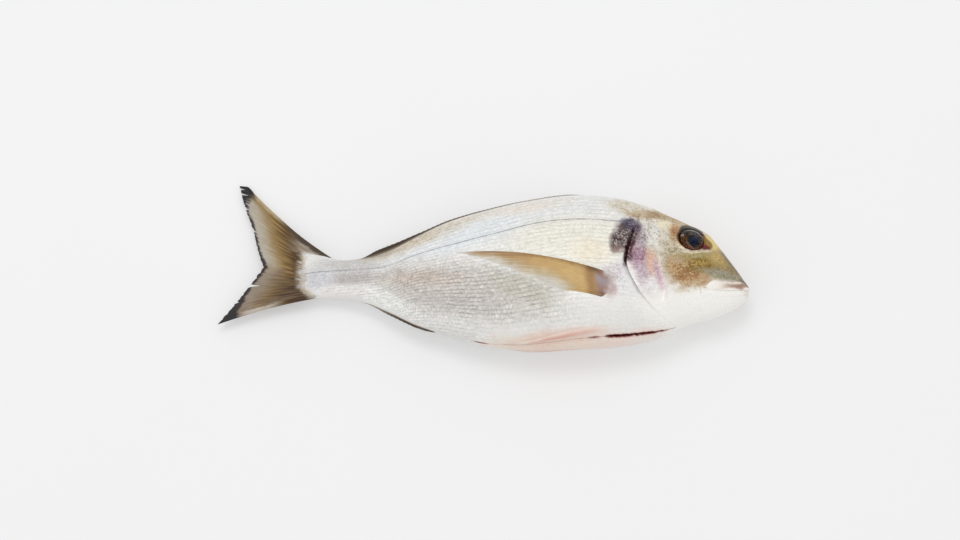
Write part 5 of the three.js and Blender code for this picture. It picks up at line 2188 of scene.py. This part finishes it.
@dataclass
class PectoralFin:
    """A long pectoral fin, folded back flat on its flank, its rays fanning out of a fleshy base."""

    shop: Shop
    root: float = 85.0
    spread: float = 92.0
    knee: float = 117.0
    tip: float = 181.5
    upper_root: float = -18.0
    tip_level: float = -2.2
    lower_knee: float = -31.8
    lower_root: float = -35.8
    sunk: float = 0.8
    root_proud: float = 1.5
    web_proud: float = 1.0
    edge_proud: float = 0.04
    base_proud: float = 0.6
    ray_relief: float = 0.12
    base_share: float = 0.14
    columns_per_ray: int = 20
    rows: int = 96
    rays: RayPattern = field(default_factory=lambda: RayPattern(15))

    def place(self, u: Array, w: Array) -> tuple[Array, Array]:
        """A place on the fin's outline plan.

        Args:
            u: shares across the fan, 0 on the upper edge.
            w: shares along the rays, below 0 on the fleshy base.

        Returns:
            The place behind the snout and the level.
        """
        part = 1 - u
        end_t = lerp(self.knee, self.tip, part)
        end_y = self.tip_level - (self.tip_level - self.lower_knee) * (1 - part) ** 1.15
        ahead = np.clip(w, 0, 1)
        root_y = lerp(self.upper_root, self.lower_root, u)
        t = lerp(self.spread, end_t, ahead)
        y = lerp(root_y, end_y, 1 - (1 - ahead) ** 1.9)
        base = np.clip(-w / self.base_share, 0, 1)
        t = t - (self.spread - self.root) * base
        narrow = 1 - 0.62 * smoothstep(base, 0.0, 1.15)
        middle = (self.upper_root + self.lower_root) / 2
        return t, np.where(w < 0, middle + (y - middle) * narrow, y)

    def build(self, side: Side) -> bpy.types.Object:
        """Builds the fin of one flank.

        Args:
            side: the flank.

        Returns:
            The finished piece.
        """
        form = self.shop.form
        u = np.linspace(0, 1, self.rays.rays * self.columns_per_ray + 1)[None, :]
        w = Sheets.closing(-self.base_share, self.rows)
        ragged = 0.012 * (1 + Grain(51)(np.stack([u * 200, u * 0, u * 0], axis=-1), 2.0)) * (1 - bump(u, 0.08))
        ahead = w * (1 - np.where(w > 0, ragged, 0))
        t, y = self.place(u, ahead)
        wide = lerp(4.0, 1.0, smoothstep(w, -0.1, 0.1))
        border = smoothstep(u, 0, 0.05 * wide) * smoothstep(1 - u, 0, 0.09 * wide) * smoothstep(1 - w, 0, 0.16)
        start = smoothstep(w, -self.base_share, 0.0)
        web = lerp(self.root_proud, self.web_proud, smoothstep(w, 0.04, 0.24))
        web = lerp(self.base_proud, web, smoothstep(w, -0.08, 0.08))
        proud = self.edge_proud + (web - self.edge_proud) * border * start * lerp(1, 0.6, np.clip(w, 0, 1))
        ray = self.rays.height(u, np.clip(w, 0, 1))
        shown = smoothstep(w, -0.03, 0.08)
        proud = proud + self.ray_relief * (ray - 0.4) * shown * border * lerp(1, 0.5, np.clip(w, 0, 1))
        plain, _ = form.on_flank(t, y, side)
        lift = proud + form.swell(plain)
        lift[0] = lift[-1] = -self.sunk
        outer, _ = form.on_flank(t, y, side, lift)
        inner, _ = form.on_flank(t, y, side, np.full_like(proud, -self.sunk))
        sheet = closed_sheet(outer, inner)
        pattern = Sheets.pattern(t.shape, u * 90, w * 7)
        wrapped = Bench.wrap(f"pectoral_fin_{side.name.lower()}", sheet, pattern)
        self.paint(sheet, *Sheets.doubled(t.shape, u, w, ray * shown)).store(wrapped)
        Bench.seal(wrapped.piece)
        Bench.smooth(wrapped.piece, 50)
        return self.shop.finish(wrapped.piece, self.shop.fin, "fish", Slot.FINS)

    def paint(self, sheet: Array, u: Array, w: Array, ray: Array) -> Paint:
        """Colours the fin.

        Args:
            sheet: its places.
            u: shares across the fan.
            w: shares along the rays.
            ray: 1 on a ray and 0 in the web.

        Returns:
            The colours.
        """
        paint = Paint(sheet, np.broadcast_to(np.array([200.0, 168, 116]), sheet.shape).copy())
        across = u.shape[1] // 2
        t = -sheet[..., 0]
        from_edge = Sheets.away(sheet, sheet[-1, :across])
        from_upper = Sheets.away(sheet, sheet[:, 0])
        rough = 0.6 * paint.fine + 0.8 * paint.coarse
        streak = Grain(54)(np.stack([u * 70, w * 5, u * 0], axis=-1), 1.0)
        paint.lay((214, 184, 128), bump(w - 0.22, 0.32) * bump(u - 0.62, 0.5) * (0.6 + 0.4 * streak))
        paint.lay((184, 150, 110), smoothstep(t + 3 * rough, 126, 144) * 0.9)
        paint.lay((164, 132, 100), smoothstep(t, 130, 150) * smoothstep(streak, -0.1, 0.5) * 0.7)
        paint.lay((150, 120, 78), (1 - smoothstep(from_upper + rough, 0.4, 3.4)) * (1 - smoothstep(t, 130, 168)) * 0.9)
        paint.lay((150, 118, 70), 0.22 * (1 - ray) * smoothstep(w, 0.02, 0.2) * (1 - smoothstep(w, 0.6, 1.0)))
        trail = (from_edge + 2.2 * streak + rough) * lerp(1.0, 1.6, smoothstep(t, 122, 148))
        paint.lay((196, 182, 156), 1 - smoothstep(trail, 3.0, 11.0))
        paint.lay((206, 201, 193), 1 - smoothstep(trail, 0.0, 5.5))
        top = smoothstep(t, 118, 150) * (1 - 0.4 * smoothstep(t, 154, 172)) * bump(from_upper - 1.0, 3.4)
        paint.lay((156, 126, 96), top * smoothstep(streak, -0.8, 0.2) * 0.85)
        paint.lay((206, 201, 196), smoothstep(t + 2 * rough, 168, 179))
        # painted shade: a brown band where the rays leave the fleshy base
        paint.lay((148, 112, 76), bump(t + 1.5 * paint.coarse - 97.5, 6.0) * 0.75)
        fleshy = 1 - smoothstep(t + 1.3 * paint.coarse + 0.8 * paint.fine + 2.0 * u, 93.5, 98.5)
        paint.lay((154, 124, 112), fleshy)
        paint.lay((162, 149, 150), fleshy * bump(u - 0.42 + 0.08 * paint.coarse, 0.34))
        paint.lay((122, 94, 86), fleshy * smoothstep(u + 0.08 * paint.coarse, 0.76, 0.94) * 0.85)
        paint.lay((106, 80, 56), bump(u + 0.04 * paint.coarse, 0.34) * bump(t + 1.2 * paint.coarse - 96.0, 8.0))
        rim = np.minimum(np.minimum(u, 1 - u) * 1.8, (w + self.base_share) / self.base_share)
        rim = rim + 0.24 * paint.coarse + 0.12 * paint.fine
        paint.lay((188, 176, 174), (1 - smoothstep(rim, 0.0, 0.5)) * (1 - smoothstep(w, -0.06, -0.01)))
        return paint


@dataclass
class PelvicFin:
    """A pelvic fin, folded back along its side of the slit."""

    shop: Shop
    root: float = 90.0
    tip: float = 151.0
    upper_rows: Rows = ((90, 12.0), (98, 13.4), (108, 12.4), (120, 10.4), (136, 7), (151, 3.4))
    lower_rows: Rows = ((90, 11.6), (98, 10.0), (108, 8.6), (120, 7.2), (136, 4.9), (151, 2.9))
    sunk: float = 0.8
    proud: float = 0.9
    ray_relief: float = 0.16
    columns: int = 72
    rows: int = 70
    rays: RayPattern = field(default_factory=lambda: RayPattern(6, (0.25, 0.5), (0.7, 0.95)))

    def build(self, side: Side) -> bpy.types.Object:
        """Builds the fin of one flank.

        Args:
            side: the flank.

        Returns:
            The finished piece.
        """
        form = self.shop.form
        u = np.linspace(0, 1, self.columns + 1)[None, :]
        w = Sheets.closing(0.0, self.rows)
        t = lerp(self.root, self.tip, w) + 0 * u
        z = side.value * lerp(Curve(self.lower_rows)(t), Curve(self.upper_rows)(t), u)
        border = np.sin(math.pi * u)
        ray = self.rays.height(u, w)
        proud = 0.06 + self.proud * border**1.5 * smoothstep(w, 0.0, 0.25) * (1 - smoothstep(w, 0.7, 1.0))
        proud = proud + self.ray_relief * (ray - 0.4) * border * smoothstep(w, 0.03, 0.2) * (1 - 0.5 * w)
        plain, _ = form.on_belly(t, z)
        lift = proud + form.swell(plain)
        lift[0] = lift[-1] = -self.sunk
        outer, _ = form.on_belly(t, z, lift)
        inner, _ = form.on_belly(t, z, np.full_like(proud, -self.sunk))
        sheet = closed_sheet(outer, inner)
        pattern = Sheets.pattern(t.shape, u * 24, w * 5)
        wrapped = Bench.wrap(f"pelvic_fin_{side.name.lower()}", sheet, pattern)
        across, along, lit = Sheets.doubled(t.shape, u, w, ray)
        paint = Paint(sheet, np.broadcast_to(np.array([229.0, 214, 204]), sheet.shape).copy())
        middle = bump(across - 0.5 + 0.1 * paint.coarse, 0.56) * bump(along - 0.4 + 0.12 * paint.coarse, 0.5)
        paint.lay((216, 172, 157), middle)
        paint.lay((206, 182, 170), 0.3 * (1 - lit) * bump(across - 0.5, 0.5))
        paint.store(wrapped)
        Bench.seal(wrapped.piece)
        Bench.smooth(wrapped.piece, 50)
        return self.shop.finish(wrapped.piece, self.shop.pale_fin, "fish", Slot.FINS)


@dataclass
class RidgeFin:
    """A spiny fin folded down into a ridge along the back or the keel."""

    shop: Shop
    name: str
    line: Curve
    direction: int
    start: float
    end: float
    height: float
    rear_height: float
    rear_at: float
    half_width: float
    spines: int
    spine_length: tuple[float, float]
    spine_end: float
    tapers: tuple[float, float]
    darkens: tuple[float, float]
    pales: tuple[float, float]
    spine_colour: Colour
    sunk: float = 3.0
    around: int = 28
    spacing: float = 0.45
    spine_radius: float = 0.55
    spine_steps: int = 9

    def crest(self, share: Array) -> tuple[Array, Array]:
        """The ridge's height and half width.

        Args:
            share: shares along the fin.

        Returns:
            Heights over the body's line and half widths.
        """
        front, rear = self.tapers
        ends = smoothstep(share, -0.02, front) * (1 - smoothstep(share, 1.0 - rear, 1.02))
        full = lerp(self.height, self.rear_height, np.exp(-(((share - self.rear_at) / 0.12) ** 2)))
        return 0.1 + full * ends, self.half_width * lerp(0.3, 1, ends)

    def sheath(self) -> bpy.types.Object:
        """Builds the folded web."""
        count = round((self.end - self.start) / self.spacing)
        share = np.linspace(0, 1, count + 1)[:, None]
        turn = np.linspace(0, 2 * math.pi, self.around + 1)[None, :]
        t = lerp(self.start, self.end, share) + 0 * turn
        height, half = self.crest(share)
        up = np.sin(turn)
        rays = 0.5 + 0.5 * np.sin((t * 1.0 - 2.2 * np.abs(up) * height) * 2 * math.pi / 2.6)
        height = height - 0.22 * rays * np.minimum(1, height)
        rise = np.where(up > 0, up * height, up * self.sunk)
        thin = np.where(up > 0, (1 - np.clip(up, 0, 1) ** 2.2) ** 0.5, 1.0)
        z = np.sign(np.cos(turn)) * np.abs(np.cos(turn)) ** 0.8 * half * lerp(0.55, 1.0, thin)
        z = z * (1 - 0.12 * rays * (up > 0.1))
        y = self.line(t) + self.direction * rise
        sheet = np.stack([-t, y, z], axis=-1)
        wrapped = Bench.wrap(self.name, sheet)
        shade = rise + 0 * t
        paint = Paint(sheet, np.broadcast_to(np.array([118.0, 106, 94]), sheet.shape).copy())
        dark = smoothstep(share + 0.03 * paint.coarse, *self.darkens) * (1 - smoothstep(share, *self.pales)) + 0 * t
        paint.lay((80, 68, 57), smoothstep(shade, 0.1, 1.1) * dark)
        paint.lay((178, 167, 152), (1 - smoothstep(shade + 0.2 * paint.fine, -0.3, 0.6)) * (1 - 0.8 * dark))
        paint.lay((172, 163, 152), (1 - dark) * 0.8)
        paint.lay((52, 44, 40), 0.5 * (1 - rays) * smoothstep(shade, 0.4, 1.2) * dark)
        paint.store(wrapped)
        Bench.seal(wrapped.piece)
        Bench.smooth(wrapped.piece, 50)
        return wrapped.piece

    def spine(self) -> bpy.types.Object:
        """Models one straight spine by extruding and narrowing a disc, its length 1 along z."""
        bpy.ops.object.select_all(action="DESELECT")
        bpy.ops.mesh.primitive_circle_add(vertices=10, radius=self.spine_radius, fill_type="NGON", calc_uvs=True)
        piece = bpy.context.object
        bpy.ops.object.mode_set(mode="EDIT")
        bpy.ops.mesh.select_all(action="SELECT")
        for step in range(self.spine_steps):
            bpy.ops.mesh.extrude_region_move(TRANSFORM_OT_translate={"value": (0, 0, 1 / self.spine_steps)})
            keep = (1 - ((step + 1) / (self.spine_steps + 0.6)) ** 2) / (1 - (step / (self.spine_steps + 0.6)) ** 2)
            bpy.ops.transform.resize(value=(keep, keep, 1))
        bpy.ops.mesh.select_all(action="SELECT")
        bpy.ops.mesh.normals_make_consistent(inside=False)
        bpy.ops.object.mode_set(mode="OBJECT")
        return piece

    def spine_row(self) -> bpy.types.Object:
        """Builds the row of folded spines, each a copy of the first, bent along the ridge."""
        model = self.spine()
        straight = Bench.places(model)
        copies = []
        for number in range(self.spines):
            share = number / max(1, self.spines - 1)
            base = lerp(self.start + 2, self.spine_end, share)
            length = float(lerp(*self.spine_length, math.sin(math.pi * lerp(0.15, 0.85, share))))
            lean = 0.5 if number % 2 else -0.5
            copy = model.copy()
            copy.data = model.data.copy()
            bpy.context.collection.objects.link(copy)
            w = straight[:, 2]
            t = base + length * w
            height, _ = self.crest((t - self.start) / (self.end - self.start))
            level = self.line(t) + self.direction * (height * lerp(0.1, 0.8, np.sin(w * math.pi / 2)))
            places = np.stack([-t + 0 * w, level + straight[:, 0], lean * (1 - 0.4 * w) + straight[:, 1]], axis=1)
            Bench.move(copy, places)
            copies.append(copy)
        bpy.data.objects.remove(model)
        bpy.ops.object.select_all(action="DESELECT")
        for copy in copies:
            copy.select_set(True)
        bpy.context.view_layer.objects.active = copies[0]
        bpy.ops.object.join()
        piece = bpy.context.object
        piece.name = piece.data.name = f"{self.name}_spines"
        Bench.seal(piece)
        Bench.smooth(piece, 60)
        colour = albedo(np.array(self.spine_colour))
        Bench.colour(piece, TINT, np.tile([*colour, 0.0], (len(piece.data.vertices), 1)))
        return piece

    def build(self) -> None:
        """Builds the ridge and its spines."""
        self.shop.finish(self.sheath(), self.shop.fin, "fish", Slot.FINS)
        self.shop.finish(self.spine_row(), self.shop.fin, "fish", Slot.FINS)


# ---------------------------------------------------------------- floor, light and camera


@dataclass
class Studio:
    """The pale floor, the soft light and the camera."""

    target: tuple[float, float, float] = (-0.0021, -0.0049, 0.0184)
    elevation: float = math.radians(68)
    distance: float = 2.2
    width_seen: float = 0.5952
    sensor: float = 36.0
    floor_size: float = 4.0
    sky: float = 0.83
    key_power: float = 8.0
    key_size: float = 0.9
    key_place: tuple[float, float, float] = (-0.2, 0.55, 1.9)

    def floor(self) -> None:
        """Lays the floor just under the fish."""
        bpy.ops.object.select_all(action="DESELECT")
        bpy.ops.mesh.primitive_plane_add(size=self.floor_size, location=(0, 0, -0.0002))
        plane = bpy.context.object
        plane.name = "floor"
        plane.data.materials.append(FloorFinish().material())
        plane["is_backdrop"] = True

    def light(self) -> None:
        """Hangs a large soft light behind the fish and fills the rest from all round."""
        world = bpy.data.worlds.new("soft_room")
        world.use_nodes = True
        background = world.node_tree.nodes["Background"]
        background.inputs["Color"].default_value = (1.0, 1.0, 1.0, 1.0)
        background.inputs["Strength"].default_value = self.sky
        bpy.context.scene.world = world
        lamp = bpy.data.lights.new("key", "AREA")
        lamp.energy = self.key_power
        lamp.shape = "SQUARE"
        lamp.size = self.key_size
        key = bpy.data.objects.new("key", lamp)
        key.location = self.key_place
        key.rotation_euler = (Vector(self.target) - Vector(self.key_place)).to_track_quat("-Z", "Y").to_euler()
        bpy.context.scene.collection.objects.link(key)

    def camera(self) -> None:
        """Points the camera down at the right flank."""
        lens = bpy.data.cameras.new("camera")
        lens.sensor_width = self.sensor
        lens.lens = self.sensor * self.distance / self.width_seen
        camera = bpy.data.objects.new("camera", lens)
        back = Vector((0, -math.cos(self.elevation), math.sin(self.elevation)))
        camera.location = Vector(self.target) + back * self.distance
        camera.rotation_euler = (math.pi / 2 - self.elevation, 0, 0)
        bpy.context.scene.collection.objects.link(camera)
        bpy.context.scene.camera = camera
        bpy.context.scene.view_settings.view_transform = "Standard"

    def build(self) -> None:
        """Sets up all three."""
        self.floor()
        self.light()
        self.camera()


def corners(box: tuple[Vector, Vector]) -> list[list[float]]:
    """A box's two corners as plain lists."""
    return [list(corner) for corner in box]


def main() -> None:
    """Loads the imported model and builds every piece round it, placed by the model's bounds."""
    logging.basicConfig(level=logging.INFO, format="%(name)s: %(message)s")
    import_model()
    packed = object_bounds()
    tail = TailFin
    roll = Pose().roll
    offset_x = packed[0].x / MM + tail.lower_tip[0]
    offset_y = packed[1].y / MM - tail.upper_tip[1] * math.cos(roll) - 0.5 * math.sin(roll)
    pose = Pose(offset=(offset_x, offset_y))
    form = FishForm()
    fin = FinFinish("olive_fin_web").material()
    pale = FinFinish("pale_fin_web", streak=0.08).material()
    shop = Shop(form, Gill(), pose, SkinFinish().material(), fin, pale)
    Studio().build()
    Trunk(shop, Slit()).build()
    eye = Eye(shop)
    mouth = Mouth(shop)
    Head(shop, eye, mouth).build()
    mouth.build()
    eye.build(EyeFinish().material(), CorneaFinish().material())
    TailFin(shop).build()
    for side in Side:
        PectoralFin(shop).build(side)
        PelvicFin(shop).build(side)
    RidgeFin(shop, "dorsal_fin", form.back, 1, start=90, end=240, height=1.6, rear_height=3.9, rear_at=0.9,
             half_width=1.5, spines=11, spine_length=(12, 17), spine_end=186, tapers=(0.22, 0.07), darkens=(0.3, 0.66),
             pales=(1.1, 1.2), spine_colour=(140, 130, 117)).build()
    RidgeFin(shop, "anal_fin", form.belly, -1, start=192, end=240, height=1.3, rear_height=1.3, rear_at=0.5,
             half_width=1.1, spines=3, spine_length=(7, 9), spine_end=201, tapers=(0.2, 0.4), darkens=(-0.2, -0.1),
             pales=(0.4, 1.0), spine_colour=(104, 93, 84)).build()


if __name__ == "__main__":
    main()
